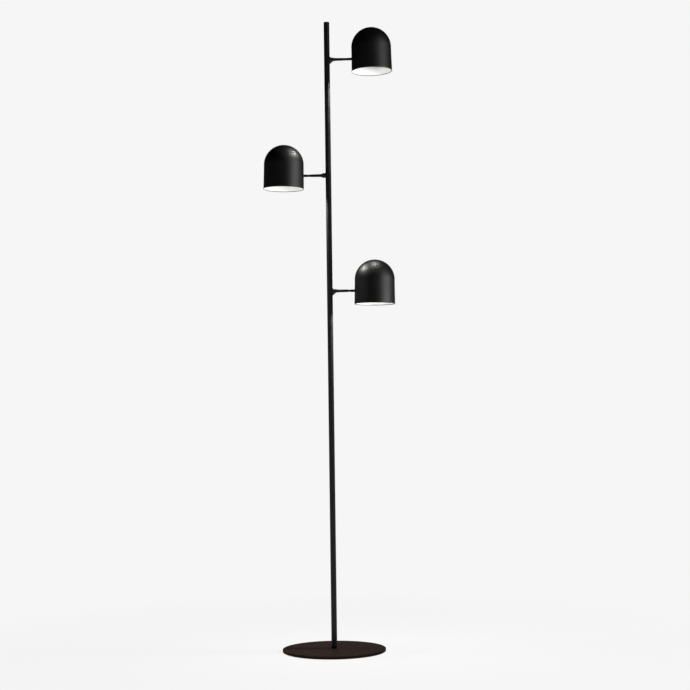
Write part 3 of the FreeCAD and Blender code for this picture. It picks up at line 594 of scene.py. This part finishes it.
# Satin lacquer on the spun shades: deep black, with a soft grey band down the side that faces a light.
BLACK_SHADE_LACQUER = SpunLacquer("Shade_black_satin_lacquer_on_spun_steel", "#030303", 0.46)

# Baked enamel inside the shades: nearly matt white, so that the lit inside looks even.
WHITE_ENAMEL = BakedEnamel("Shade_white_baked_enamel", "#F7F7F6", 0.5)

# Bright zinc on washers, nuts and straps: cool grey with a cloudy gloss.
ZINC = PlatedMetal("Zinc_plated_steel", "#C3C6C8", 0.34)

# Black oxide on the small screws: dark grey metal with a dull sheen.
BLACK_OXIDE = PlatedMetal("Black_oxide_steel", "#232325", 0.38, other="#2E2E30")

# Nickel on the brass pins: a warmer and sharper shine than the zinc's.
NICKEL = PlatedMetal("Nickel_plated_brass_pin", "#D2CEC4", 0.22, other="#BDB8AC")

# Moulded nylon on washers, gland and splice: matt black with a fine grain.
BLACK_NYLON = MouldedPolymer("Black_moulded_nylon", "#141415", 0.5)

# Foam under the base: dull black with open cells.
FOAM = CellFoam("Black_foam_sheet", "#1E1D1D", 0.92)

# Silicone on the leads: cream and smooth, with a soft rubbery shine.
SILICONE = MouldedPolymer(
    "Cream_silicone_lead_sleeve", "#DCD6C8", 0.45, other="#CFC7B4", grain_depth_mm=0.01
)

# Glazed steatite on the lampholders: cream, with the hard gloss of a glaze.
STEATITE = GlazedSteatite("Cream_glazed_steatite", "#E8E2D4", 0.4)

# The bulb's reflector: silver behind clear glass.
MIRROR = MirroredGlass("Mirrored_pressed_glass", "#D5D8DB", 0.14)

# The bulb's lens with the lamp on: warm white, with the lenslets just showing.
LENS = LitLens("Lit_pressed_glass_lens", "#F4F2EC", 0.25)


# ----------------------------------------------------------------------------------------------------
# Mesh helpers
# ----------------------------------------------------------------------------------------------------


def arc(centre: Point, radius: float, start: float, stop: float, steps: int) -> list[Point]:
    """Return points along an arc of a turned profile.

    Args:
        centre: distance from the axis and height of the arc's centre.
        radius: the arc's radius.
        start: first angle, in degrees from straight outwards.
        stop: last angle.
        steps: how many chords the arc has.

    Returns:
        The arc's points, with both ends.
    """
    angles = [math.radians(start + (stop - start) * step / steps) for step in range(steps + 1)]
    return [(centre[0] + radius * math.cos(a), centre[1] + radius * math.sin(a)) for a in angles]


def smooth_mesh(name: str, mesh_maker: bmesh.types.BMesh, sharp: float = SHARP_TURN) -> bpy.types.Mesh:
    """Turn what was drawn into a mesh whose faces point outwards.

    Args:
        name: the mesh's name.
        mesh_maker: what was drawn, which is freed.
        sharp: the turn in degrees past which an edge is sharp.

    Returns:
        The mesh, with smooth faces.
    """
    bmesh.ops.recalc_face_normals(mesh_maker, faces=mesh_maker.faces)
    mesh = bpy.data.meshes.new(name)
    mesh_maker.to_mesh(mesh)
    mesh_maker.free()
    mesh.shade_smooth()
    mesh.set_sharp_from_angle(angle=math.radians(sharp))
    return mesh


def turned_mesh(name: str, profile: Sequence[Point], segments: int) -> bpy.types.Mesh:
    """Turn a closed profile about Z.

    Args:
        name: the mesh's name.
        profile: distance from the axis and height of each corner, in order; the last joins the first.
        segments: how many faces go round.

    Returns:
        The mesh.
    """
    mesh_maker = bmesh.new()
    turns = [math.tau * step / segments for step in range(segments)]
    rings: list[list[bmesh.types.BMVert]] = []
    for radius, height in profile:
        if radius < ON_AXIS:
            rings.append([mesh_maker.verts.new((0.0, 0.0, height))])
            continue
        rings.append(
            [mesh_maker.verts.new((radius * math.cos(t), radius * math.sin(t), height)) for t in turns]
        )
    for lower, upper in zip(rings, rings[1:] + rings[:1]):
        if len(lower) == 1 and len(upper) == 1:
            continue
        for step in range(segments):
            after = (step + 1) % segments
            corners = [lower[step % len(lower)], lower[after % len(lower)]]
            corners += [upper[after % len(upper)], upper[step % len(upper)]]
            mesh_maker.faces.new(list(dict.fromkeys(corners)))
    return smooth_mesh(name, mesh_maker)


class Section(NamedTuple):
    """One ring of a lofted form: its place along the axis, and its reach up, down and across.

    A place of zero is on the surface of what carries the form.
    """

    along: float
    up: float
    down: float
    across: float


def sections(*rows: tuple[float, float, float, float]) -> tuple[Section, ...]:
    """Return sections whose along, up, down and across are given in millimetres."""
    return tuple(Section(*(number * MM for number in row)) for row in rows)


def lofted_mesh(
    name: str, loop: Sequence[Section], carrier: Callable[[float], float], segments: int
) -> bpy.types.Mesh:
    """Loft a closed form with a bore along X.

    Args:
        name: the mesh's name.
        loop: the sections in order; the last joins the first.
        carrier: how far along the carrying surface is, at a distance across it.
        segments: how many faces go round.

    Returns:
        The mesh.
    """
    mesh_maker = bmesh.new()
    rings = []
    for section in loop:
        ring = []
        for step in range(segments):
            turn = math.tau * step / segments
            across = section.across * math.cos(turn)
            height = math.sin(turn) * (section.up if math.sin(turn) > 0 else section.down)
            ring.append(mesh_maker.verts.new((section.along or carrier(across), across, height)))
        rings.append(ring)
    for lower, upper in zip(rings, rings[1:] + rings[:1]):
        for step in range(segments):
            after = (step + 1) % segments
            mesh_maker.faces.new((lower[step], lower[after], upper[after], upper[step]))
    return smooth_mesh(name, mesh_maker)


def disc_mesh(
    name: str, radius: float, front: Callable[[float, float], float], back: float, rings: int, segments: int
) -> bpy.types.Mesh:
    """Make a round plate about Z with a shaped front and a flat back.

    Args:
        name: the mesh's name.
        radius: the plate's radius.
        front: the front's height at a place on the plate.
        back: the back's height.
        rings: how many rings of faces the front has.
        segments: how many faces go round.

    Returns:
        The mesh.
    """
    mesh_maker = bmesh.new()
    turns = [math.tau * step / segments for step in range(segments)]
    circles = []
    for ring in range(1, rings + 1):
        reach = radius * ring / rings
        spots = [(reach * math.cos(turn), reach * math.sin(turn)) for turn in turns]
        circles.append([mesh_maker.verts.new((x, y, front(x, y))) for x, y in spots])
    circles.append([mesh_maker.verts.new((spot.co.x, spot.co.y, back)) for spot in circles[-1]])
    front_middle = mesh_maker.verts.new((0.0, 0.0, front(0.0, 0.0)))
    back_middle = mesh_maker.verts.new((0.0, 0.0, back))
    for step in range(segments):
        after = (step + 1) % segments
        for inner, outer in zip(circles, circles[1:]):
            mesh_maker.faces.new((inner[step], outer[step], outer[after], inner[after]))
        mesh_maker.faces.new((front_middle, circles[0][step], circles[0][after]))
        mesh_maker.faces.new((back_middle, circles[-1][after], circles[-1][step]))
    return smooth_mesh(name, mesh_maker, DISC_SHARP_TURN)


def add_object(name: str, mesh: bpy.types.Mesh, place: Matrix | None = None) -> bpy.types.Object:
    """Link a mesh into the scene as an object.

    Args:
        name: the object's name.
        mesh: its mesh.
        place: where it stands in the frame, or nothing for the origin.

    Returns:
        The object.
    """
    thing = bpy.data.objects.new(name, mesh)
    bpy.context.scene.collection.objects.link(thing)
    if place is not None:
        thing.matrix_world = place
    return thing


def drilled(thing: bpy.types.Object, cutter: bpy.types.Object) -> None:
    """Cut one object's mesh out of another's, and remove the cutter.

    Args:
        thing: the object that gets the hole.
        cutter: the object that has the hole's shape.
    """
    hole = thing.modifiers.new("hole", "BOOLEAN")
    hole.operation = "DIFFERENCE"
    hole.solver = "EXACT"
    hole.object = cutter
    bpy.context.view_layer.update()
    shaped = thing.evaluated_get(bpy.context.evaluated_depsgraph_get())
    mesh = bpy.data.meshes.new_from_object(shaped)
    thing.modifiers.clear()
    thing.data = mesh
    bpy.data.objects.remove(cutter)


def keep_off(light: bpy.types.Object, things: Sequence[bpy.types.Object]) -> None:
    """Keep a light's rays off some objects, which other lights still reach.

    Args:
        light: the light.
        things: what it doesn't light.
    """
    left_out = bpy.data.collections.new(f"{light.name}_leaves_out")
    for thing in things:
        left_out.objects.link(thing)
    light.light_linking.receiver_collection = left_out
    for entry in left_out.collection_objects:
        entry.light_linking.link_state = "EXCLUDE"


# ----------------------------------------------------------------------------------------------------
# The lamp
# ----------------------------------------------------------------------------------------------------


class Level(Enum):
    """The three arms, with the side that each points to, its height and its lean at rest."""

    TOP = ("top", 1, 1447 * MM, 1.0)
    MIDDLE = ("middle", -1, 1160 * MM, 1.0)
    LOW = ("low", 1, 875 * MM, -0.5)

    def __init__(self, label: str, side: int, height: float, lean: float) -> None:
        """Keep the arm's facts as named values.

        Args:
            label: what its pieces' names start with.
            side: 1 for an arm that points to +X, -1 for the other way.
            height: its axis above the floor.
            lean: how far its head leans at rest, in degrees; the rim goes outwards.
        """
        self.label = label
        self.side = side
        self.height = height
        self.lean = lean

    def facing(self) -> Matrix:
        """Return the turn about the pole that points +X to the arm's side."""
        return Matrix.Rotation(0.0 if self.side > 0 else math.pi, 4, "Z")


@dataclass
class SubAssembly:
    """A group of pieces that are made and dressed together."""

    nodes: Mapping[str, bpy.types.Object]

    def dress(self, name: str, finish: Finish) -> None:
        """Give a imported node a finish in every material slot.

        Args:
            name: the node's name.
            finish: what it is made of.
        """
        node = self.nodes[name]
        if not node.material_slots:
            node.data.materials.append(finish.material())
        for slot in node.material_slots:
            slot.material = finish.material()
        log.info("dressed %s with %s", name, finish.name)

    def build(self) -> None:
        """Make the sub-assembly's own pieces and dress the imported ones."""
        raise NotImplementedError


@dataclass
class Stand(SubAssembly):
    """The base, the pole and what is fixed in them."""

    def build(self) -> None:
        """Dress the base and the pole."""
        self.dress("base_plate", BLACK_BASE_COAT)
        self.dress("base_pad", FOAM)
        for name in ("lower_pole", "upper_pole", "pole_cap"):
            self.dress(name, BLACK_POLE_COAT)
        for name in ("base_screw", "pole_foot_insert", "pole_coupler"):
            self.dress(name, ZINC)
        self.dress("cord_gland", BLACK_NYLON)
        self.dress("lead_splice", BLACK_NYLON)
        self.dress("hub_screws", BLACK_OXIDE)


@dataclass
class Arm(SubAssembly):
    """One arm from its hub on the pole to the fork beside the shade."""

    level: Level
    tube_radius: float = 7 * MM
    spigot_radius: float = 3.95 * MM
    spigot_end: float = 5.4 * MM  # from the pole's axis
    bore_radius: float = 3.1 * MM
    hub_tip: float = 15.6 * MM
    screw_place: float = 12 * MM
    screw_radius: float = 1.5 * MM
    screw_depth: float = 14 * MM  # from the arm's axis, past the hub's underside
    screw_segments: int = 32
    clearance: float = 0.02 * MM
    segments: int = 96
    slanted_boss: tuple[Section, ...] = sections(
        (0.0, 6.5, 10.6, 6.5),  # root on the tube
        (8.0, 6.5, 10.5, 6.4),
        (8.6, 6.1, 10.1, 6.1),
        (10.0, 5.2, 8.8, 5.4),
        (11.5, 4.85, 7.4, 5.0),  # underside slanting up
        (13.0, 4.75, 6.0, 4.85),
        (14.2, 4.7, 5.0, 4.75),
        (14.7, 4.7, 4.72, 4.7),
        (15.3, 4.7, 4.7, 4.7),  # round neck
        (15.6, 4.4, 4.4, 4.4),
    )
    round_knob: tuple[Section, ...] = sections(
        (0.0, 6.6, 6.6, 6.5),  # root on the tube
        (7.9, 6.6, 6.6, 6.4),
        (8.5, 6.2, 6.2, 6.1),
        (9.2, 5.2, 5.2, 5.2),
        (9.8, 5.0, 5.0, 5.0),  # floor of the groove
        (10.4, 5.3, 5.3, 5.3),
        (11.1, 5.85, 5.85, 5.85),
        (12.0, 6.1, 6.1, 6.1),
        (13.2, 6.1, 6.1, 6.1),  # crown of the knob
        (14.3, 5.8, 5.8, 5.8),
        (15.1, 5.2, 5.2, 5.2),
        (15.6, 4.4, 4.4, 4.4),
    )

    def hub_loop(self) -> list[Section]:
        """Return the hub's closed section, from the bore's root round the spigot and out to the tip.

        The hubs on the right have a boss that runs down the tube; the one on the left is a round knob.

        Returns:
            The sections in order.
        """
        bore, spigot = self.bore_radius, self.spigot_radius
        outside = self.slanted_boss if self.level.side > 0 else self.round_knob
        root = [
            Section(self.spigot_end, bore, bore, bore),
            Section(self.spigot_end, spigot, spigot, spigot),
            Section(0.0, spigot, spigot, spigot),
        ]
        return [*root, *outside, Section(self.hub_tip, bore, bore, bore)]

    def saddle(self, across: float) -> float:
        """Return how far from the pole's axis the tube's surface is, at a distance across it."""
        return math.sqrt(max(self.tube_radius**2 - across**2, 0.0)) + self.clearance

    def make_hub(self) -> None:
        """Loft the hub round its bore, with its root on the tube and the grub screw's hole below."""
        label = self.level.label
        mesh = lofted_mesh(f"{label}_flared_hub", self.hub_loop(), self.saddle, self.segments)
        mesh.materials.append(BLACK_ARM_COAT.material())
        place = Matrix.Translation((0.0, 0.0, self.level.height)) @ self.level.facing()
        hub = add_object(f"{label}_flared_hub", mesh, place)
        low, radius = -self.screw_depth, self.screw_radius
        profile = [(0.0, low), (radius, low), (radius, 0.0), (0.0, 0.0)]
        hole = turned_mesh("hole", profile, self.screw_segments)
        drilled(hub, add_object("hole", hole, place @ Matrix.Translation((self.screw_place, 0.0, 0.0))))
        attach(hub, "stand")
        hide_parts(f"{label}_hub")
        log.info("made %s", hub.name)

    def build(self) -> None:
        """Make the hub and dress the arm's turned parts."""
        label = self.level.label
        self.make_hub()
        self.dress(f"{label}_arm", BLACK_ARM_COAT)
        self.dress(f"{label}_swivel_washer", BLACK_NYLON)
        self.dress(f"{label}_pivot_screw", BLACK_OXIDE)
        self.dress(f"{label}_leads", SILICONE)


@dataclass
class Head(SubAssembly):
    """One shade with its stub, strap, lampholder and bulb.

    Heights are from the arm's axis, and the shade's axis is the local Z.
    """

    level: Level
    pivot: float = 48.5 * MM  # pole axis to the nod axis
    shade_axis: float = 61.5 * MM  # nod axis to the shade's axis
    shade_radius: float = 49 * MM
    wall: float = 1.2 * MM
    rim: float = -33.0 * MM
    dome: float = 27 * MM  # where the dome springs from the wall
    flare: float = 0.8 * MM  # how much wider the rim is than the dome
    flare_curve: float = 1.5  # 1 is a straight taper, more keeps the widening near the rim
    lip: float = 1.4 * MM  # how far the black coat goes up inside the rim
    lip_steps: int = 8
    wall_steps: int = 12
    dome_steps: int = 48
    shade_segments: int = 160
    hole_radius: float = 2.55 * MM
    hole_reach: float = 10 * MM  # how far the drill goes to each side of the wall
    hole_segments: int = 48
    bulb_face: float = -9 * MM
    lens_radius: float = 22.75 * MM
    lens_crown: float = 0.8 * MM
    lens_thickness: float = 2 * MM
    lens_rings: int = 44
    lens_segments: int = 220
    lenslet: float = 3.6 * MM
    lenslet_rise: float = 0.25 * MM
    beam_radius: float = 21 * MM
    beam_gap: float = 2 * MM  # bulb's face to the lights
    beam_colour: str = "#FFFDFA"
    glow_power: float = 0.035  # watts
    beam_power: float = 2.8  # watts
    beam_spread: float = 140.0  # degrees

    def place(self) -> Matrix:
        """Return where the shade's axis stands, leaned as the head rests.

        Returns:
            The place of the shade, bulb and lights in the frame.
        """
        level = self.level
        lean = Matrix.Rotation(math.radians(-level.lean), 4, "Y")
        nod_axis = Matrix.Translation((level.side * self.pivot, 0.0, level.height))
        return nod_axis @ level.facing() @ lean @ Matrix.Translation((self.shade_axis, 0.0, 0.0))

    def inner_wall(self, height: float) -> float:
        """Return the wall's inner radius at a height: it widens gently towards the rim."""
        down = max((self.dome - height) / (self.dome - self.rim), 0.0)
        return self.shade_radius - self.wall + self.flare * down**self.flare_curve

    def shade_profile(self) -> list[Point]:
        """Draw the shade's closed section.

        Returns:
            The points of the rounded lip, the outside, the dome and the inside, in order.
        """
        half = self.wall / 2
        inner = self.shade_radius - self.wall
        lip = [(self.inner_wall(self.rim + self.lip), self.rim + self.lip)]
        lip += arc((self.inner_wall(self.rim) + half, self.rim + half), half, -180, 0, self.lip_steps)
        drop = self.dome - self.rim
        heights = [self.rim + drop * step / self.wall_steps for step in range(1, self.wall_steps)]
        outer_wall = [(self.inner_wall(height) + self.wall, height) for height in heights]
        inner_wall = [(self.inner_wall(height), height) for height in reversed(heights)]
        outer_dome = arc((0.0, self.dome), self.shade_radius, 0, 90, self.dome_steps)[:-1]
        inner_dome = arc((0.0, self.dome), inner, 90, 0, self.dome_steps)[1:]
        crown = [(0.0, self.dome + self.shade_radius), (0.0, self.dome + inner)]
        return lip + outer_wall + outer_dome + crown + inner_dome + inner_wall

    def is_enamelled(self, spot: Vector) -> bool:
        """Say whether a face of the shade is inside, above the lip.

        Args:
            spot: the face's middle.

        Returns:
            True for the white inside.
        """
        reach = math.hypot(spot.x, spot.y, max(spot.z - self.dome, 0.0))
        inside = reach < self.inner_wall(spot.z) + self.wall / 2
        return inside and spot.z > self.rim + self.lip

    def make_shade(self) -> bpy.types.Object:
        """Spin the shade: lacquer outside, enamel inside, with the stub's hole in its wall.

        Returns:
            The shade.
        """
        label = self.level.label
        mesh = turned_mesh(f"{label}_spun_shade", self.shade_profile(), self.shade_segments)
        mesh.materials.append(BLACK_SHADE_LACQUER.material())
        mesh.materials.append(WHITE_ENAMEL.material())
        for face in mesh.polygons:
            face.material_index = int(self.is_enamelled(face.center))
        shade = add_object(f"{label}_spun_shade", mesh, self.place())
        reach, radius = self.hole_reach, self.hole_radius
        profile = [(0.0, -reach), (radius, -reach), (radius, reach), (0.0, reach)]
        bore = turned_mesh("bore", profile, self.hole_segments)
        wall_spot = Matrix.Translation((-self.shade_radius, 0.0, 0.0))
        through_wall = wall_spot @ Matrix.Rotation(math.pi / 2, 4, "Y")
        drilled(shade, add_object("bore", bore, self.place() @ through_wall))
        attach(shade, f"{label}_head")
        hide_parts(f"{label}_shade")
        log.info("made %s", shade.name)
        return shade

    def lens_front(self, x: float, y: float) -> float:
        """Return the height of the lens's front: its crown, and a small dome for each lenslet.

        Args:
            x: first distance from the lens's axis.
            y: second distance from the lens's axis.

        Returns:
            The height. Three crossed waves give domes in a hexagonal pattern, flat at the lens's edge.
        """
        slant = math.sqrt(3) / 2
        wave = math.tau / (self.lenslet * slant)
        domes = math.cos(wave * y)
        domes += math.cos(wave * (slant * x + y / 2))
        domes += math.cos(wave * (slant * x - y / 2))
        out = math.hypot(x, y) / self.lens_radius
        return self.bulb_face - self.lens_crown * (1 - out**2) - self.lenslet_rise * domes / 3 * (1 - out**6)

    def make_lens(self) -> None:
        """Press the lens: a crowned disc whose front is covered in small domes."""
        label = self.level.label
        back = self.bulb_face + self.lens_thickness
        mesh = disc_mesh(
            f"{label}_pressed_lens",
            self.lens_radius,
            self.lens_front,
            back,
            self.lens_rings,
            self.lens_segments,
        )
        mesh.materials.append(LENS.material())
        lens = add_object(f"{label}_pressed_lens", mesh, self.place())
        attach(lens, f"{label}_head")
        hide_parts(f"{label}_bulb_lens")
        log.info("made %s", lens.name)

    def hang_disc(self, name: str, power: float) -> bpy.types.Object:
        """Hang a round light just under the lens, out of the camera's sight, on the head's body.

        Args:
            name: the light's name.
            power: its power in watts.

        Returns:
            The light.
        """
        data = bpy.data.lights.new(name, "AREA")
        data.shape = "DISK"
        data.size = 2 * self.beam_radius
        data.energy = power
        data.color = linear(self.beam_colour)[:3]
        disc = bpy.data.objects.new(name, data)
        bpy.context.scene.collection.objects.link(disc)
        disc.visible_camera = False
        disc.matrix_world = self.place() @ Matrix.Translation((0.0, 0.0, self.bulb_face - self.beam_gap))
        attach(disc, f"{self.level.label}_head")
        log.info("hung %s", name)
        return disc

    def light_bulb(self, shade: bpy.types.Object) -> None:
        """Light the enamel gently and what lies below the bulb strongly.

        Args:
            shade: the head's own shade, which the strong light leaves out.
        """
        label = self.level.label
        self.hang_disc(f"{label}_glow", self.glow_power)
        beam = self.hang_disc(f"{label}_beam", self.beam_power)
        beam.data.spread = math.radians(self.beam_spread)
        keep_off(beam, [shade])

    def build(self) -> None:
        """Make the shade and the lens, light the bulb, and dress what the shade holds."""
        label = self.level.label
        self.light_bulb(self.make_shade())
        self.make_lens()
        self.dress(f"{label}_stub", BLACK_ARM_COAT)
        for part in ("strap", "stub_washer", "stub_nut", "holder_screws"):
            self.dress(f"{label}_{part}", ZINC)
        self.dress(f"{label}_holder", STEATITE)
        self.dress(f"{label}_bulb_body", MIRROR)
        self.dress(f"{label}_bulb_pins", NICKEL)
        self.dress(f"{label}_head_leads", SILICONE)


# ----------------------------------------------------------------------------------------------------
# The studio
# ----------------------------------------------------------------------------------------------------


@dataclass(frozen=True)
class SoftBox:
    """A rectangular soft light that faces a point."""

    name: str
    position: tuple[float, float, float]
    aim: tuple[float, float, float]
    width: float
    height: float
    power: float
    mirrored: bool = True  # whether glossy surfaces show the light itself
    keeps_off: tuple[str, ...] = ()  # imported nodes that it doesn't light

    def build(self, nodes: Mapping[str, bpy.types.Object]) -> None:
        """Hang the light.

        Args:
            nodes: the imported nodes, by name.
        """
        data = bpy.data.lights.new(self.name, "AREA")
        data.shape = "RECTANGLE"
        data.size, data.size_y = self.width, self.height
        data.energy = self.power
        lamp = bpy.data.objects.new(self.name, data)
        bpy.context.scene.collection.objects.link(lamp)
        lamp.visible_glossy = self.mirrored
        lamp.location = self.position
        facing = Vector(self.aim) - Vector(self.position)
        lamp.rotation_euler = facing.to_track_quat("-Z", "Y").to_euler()
        if self.keeps_off:
            keep_off(lamp, [nodes[name] for name in self.keeps_off])
        log.info("hung %s", self.name)


@dataclass
class Studio:
    """Pale floor and surround, soft lights, and the camera where the photograph was taken."""

    background: str = "#F6F6F6"
    ambient: float = 0.12
    floor_colour: str = "#C4C4C4"  # the matt paper that takes the shadow
    floor_half: float = 30.0
    shadow_near: float = 0.1  # from the pole, where the shadow shows most
    shadow_far: float = 1.2  # from the pole, where the floor is all background
    plain_share: float = 0.86  # how much of the near floor is the plain background colour
    behind_start: float = 0.9  # of a ray's direction along +Y, where a mirrored surround begins
    behind_full: float = 0.98
    camera_spot: tuple[float, float, float] = (0.2243, -3.6717, 0.576)
    lens_mm: float = 78.6
    sensor_mm: float = 36.0
    pitch: float = 0.0452  # radians upwards
    yaw: float = -0.0514  # radians, to the left
    roll: float = 0.0132  # radians
    lights: tuple[SoftBox, ...] = (
        SoftBox(
            "Panel_right",
            position=(2.85, -0.95, 1.0),
            aim=(0.0, 0.0, 1.0),
            width=2.6,
            height=1.8,
            power=146.0,
            keeps_off=("base_plate", "lower_pole", "upper_pole"),
        ),
        SoftBox(
            "Panel_high_right",
            position=(2.3, -0.9, 2.7),
            aim=(0.0, 0.0, 1.1),
            width=1.6,
            height=1.0,
            power=14.0,
            keeps_off=("base_plate",),
        ),
        SoftBox(
            "Overhead",
            position=(0.0, -0.4, 3.4),
            aim=(0.0, 0.0, 0.0),
            width=2.2,
            height=2.2,
            power=45.0,
            mirrored=False,
        ),
    )

    def make_floor(self) -> None:
        """Lay a pale floor that shows the background's colour and keeps the lamp's soft shadow.

        Near the pole a small share of it is matt paper that takes the shadow.
        """
        half = self.floor_half
        mesh = bpy.data.meshes.new("Floor")
        corners = [(-half, -half, 0.0), (half, -half, 0.0), (half, half, 0.0), (-half, half, 0.0)]
        mesh.from_pydata(corners, [], [(0, 1, 2, 3)])
        paper = bpy.data.materials.new("Pale_paper_floor")
        paper.use_nodes = True
        tree = paper.node_tree
        tree.nodes.clear()
        ray = add_node(tree, "ShaderNodeLightPath")
        seen = add_node(
            tree,
            "ShaderNodeMath",
            {0: ray.outputs["Is Camera Ray"], 1: ray.outputs["Is Glossy Ray"]},
            operation="MAXIMUM",
        )
        seen = add_node(
            tree,
            "ShaderNodeMath",
            {0: seen.outputs[0], 1: ray.outputs["Is Transmission Ray"]},
            operation="MAXIMUM",
        )
        place = add_node(tree, "ShaderNodeTexCoord")
        reach = add_node(tree, "ShaderNodeVectorMath", {0: place.outputs["Object"]}, operation="LENGTH")
        plain = add_node(
            tree,
            "ShaderNodeMapRange",
            {
                "Value": reach.outputs["Value"],
                "From Min": self.shadow_near,
                "From Max": self.shadow_far,
                "To Min": self.plain_share,
                "To Max": 1.0,
            },
        )
        share = add_node(
            tree,
            "ShaderNodeMath",
            {0: seen.outputs[0], 1: plain.outputs["Result"]},
            operation="MULTIPLY",
        )
        matt = add_node(tree, "ShaderNodeBsdfDiffuse", {"Color": linear(self.floor_colour)})
        glow = add_node(tree, "ShaderNodeEmission", {"Color": linear(self.background), "Strength": 1.0})
        both = add_node(
            tree,
            "ShaderNodeMixShader",
            {0: share.outputs[0], 1: matt.outputs[0], 2: glow.outputs[0]},
        )
        add_node(tree, "ShaderNodeOutputMaterial", {"Surface": both.outputs[0]})
        mesh.materials.append(paper)
        add_object("Floor", mesh)

    def make_surround(self) -> None:
        """Light evenly from all round, and show the background's colour where a ray is seen.

        Glossy surfaces mirror it only behind the lamp, so that the black coats stay black.
        """
        world = bpy.data.worlds.new("Surround")
        bpy.context.scene.world = world
        world.use_nodes = True
        tree = world.node_tree
        tree.nodes.clear()
        ray = add_node(tree, "ShaderNodeLightPath")
        place = add_node(tree, "ShaderNodeTexCoord")
        split = add_node(tree, "ShaderNodeSeparateXYZ", {"Vector": place.outputs["Generated"]})
        behind = add_node(
            tree,
            "ShaderNodeMapRange",
            {
                "Value": split.outputs["Y"],
                "From Min": self.behind_start,
                "From Max": self.behind_full,
            },
        )
        mirrored = add_node(
            tree,
            "ShaderNodeMath",
            {0: ray.outputs["Is Glossy Ray"], 1: behind.outputs["Result"]},
            operation="MULTIPLY",
        )
        seen = add_node(
            tree,
            "ShaderNodeMath",
            {0: ray.outputs["Is Camera Ray"], 1: ray.outputs["Is Transmission Ray"]},
            operation="MAXIMUM",
        )
        seen = add_node(
            tree, "ShaderNodeMath", {0: seen.outputs[0], 1: mirrored.outputs[0]}, operation="MAXIMUM"
        )
        lit = add_node(
            tree,
            "ShaderNodeMath",
            {0: ray.outputs["Is Diffuse Ray"], 1: self.ambient},
            operation="MULTIPLY",
        )
        strength = add_node(
            tree,
            "ShaderNodeMath",
            {0: seen.outputs[0], 1: lit.outputs[0]},
            operation="MAXIMUM",
        )
        sky = add_node(
            tree,
            "ShaderNodeBackground",
            {"Color": linear(self.background), "Strength": strength.outputs[0]},
        )
        add_node(tree, "ShaderNodeOutputWorld", {"Surface": sky.outputs[0]})

    def place_camera(self) -> None:
        """Stand the camera where the photograph was taken."""
        ahead = Vector(
            (
                math.sin(self.yaw) * math.cos(self.pitch),
                math.cos(self.yaw) * math.cos(self.pitch),
                math.sin(self.pitch),
            )
        )
        right = Vector((math.cos(self.yaw), -math.sin(self.yaw), 0.0))
        up = right.cross(ahead)
        rolled_right = right * math.cos(self.roll) - up * math.sin(self.roll)
        rolled_up = right * math.sin(self.roll) + up * math.cos(self.roll)
        data = bpy.data.cameras.new("Camera")
        data.sensor_width = self.sensor_mm
        data.lens = self.lens_mm
        camera = bpy.data.objects.new("Camera", data)
        bpy.context.scene.collection.objects.link(camera)
        turn = Matrix((rolled_right, rolled_up, -ahead)).transposed().to_4x4()
        camera.matrix_world = Matrix.Translation(self.camera_spot) @ turn
        bpy.context.scene.camera = camera

    def build(self, nodes: Mapping[str, bpy.types.Object]) -> None:
        """Set up the floor, the surround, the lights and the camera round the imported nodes.

        Args:
            nodes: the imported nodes, by name.
        """
        bpy.context.scene.view_settings.view_transform = "Standard"
        self.place_camera()
        self.make_floor()
        self.make_surround()
        for light in self.lights:
            light.build(nodes)


def main() -> None:
    """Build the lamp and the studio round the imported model."""
    logging.basicConfig(level=logging.INFO, format="%(name)s: %(message)s")
    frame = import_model()
    nodes = frame["nodes"]
    Studio().build(nodes)
    Stand(nodes).build()
    for level in Level:
        Arm(nodes, level).build()
        Head(nodes, level).build()


if __name__ == "__main__":
    main()
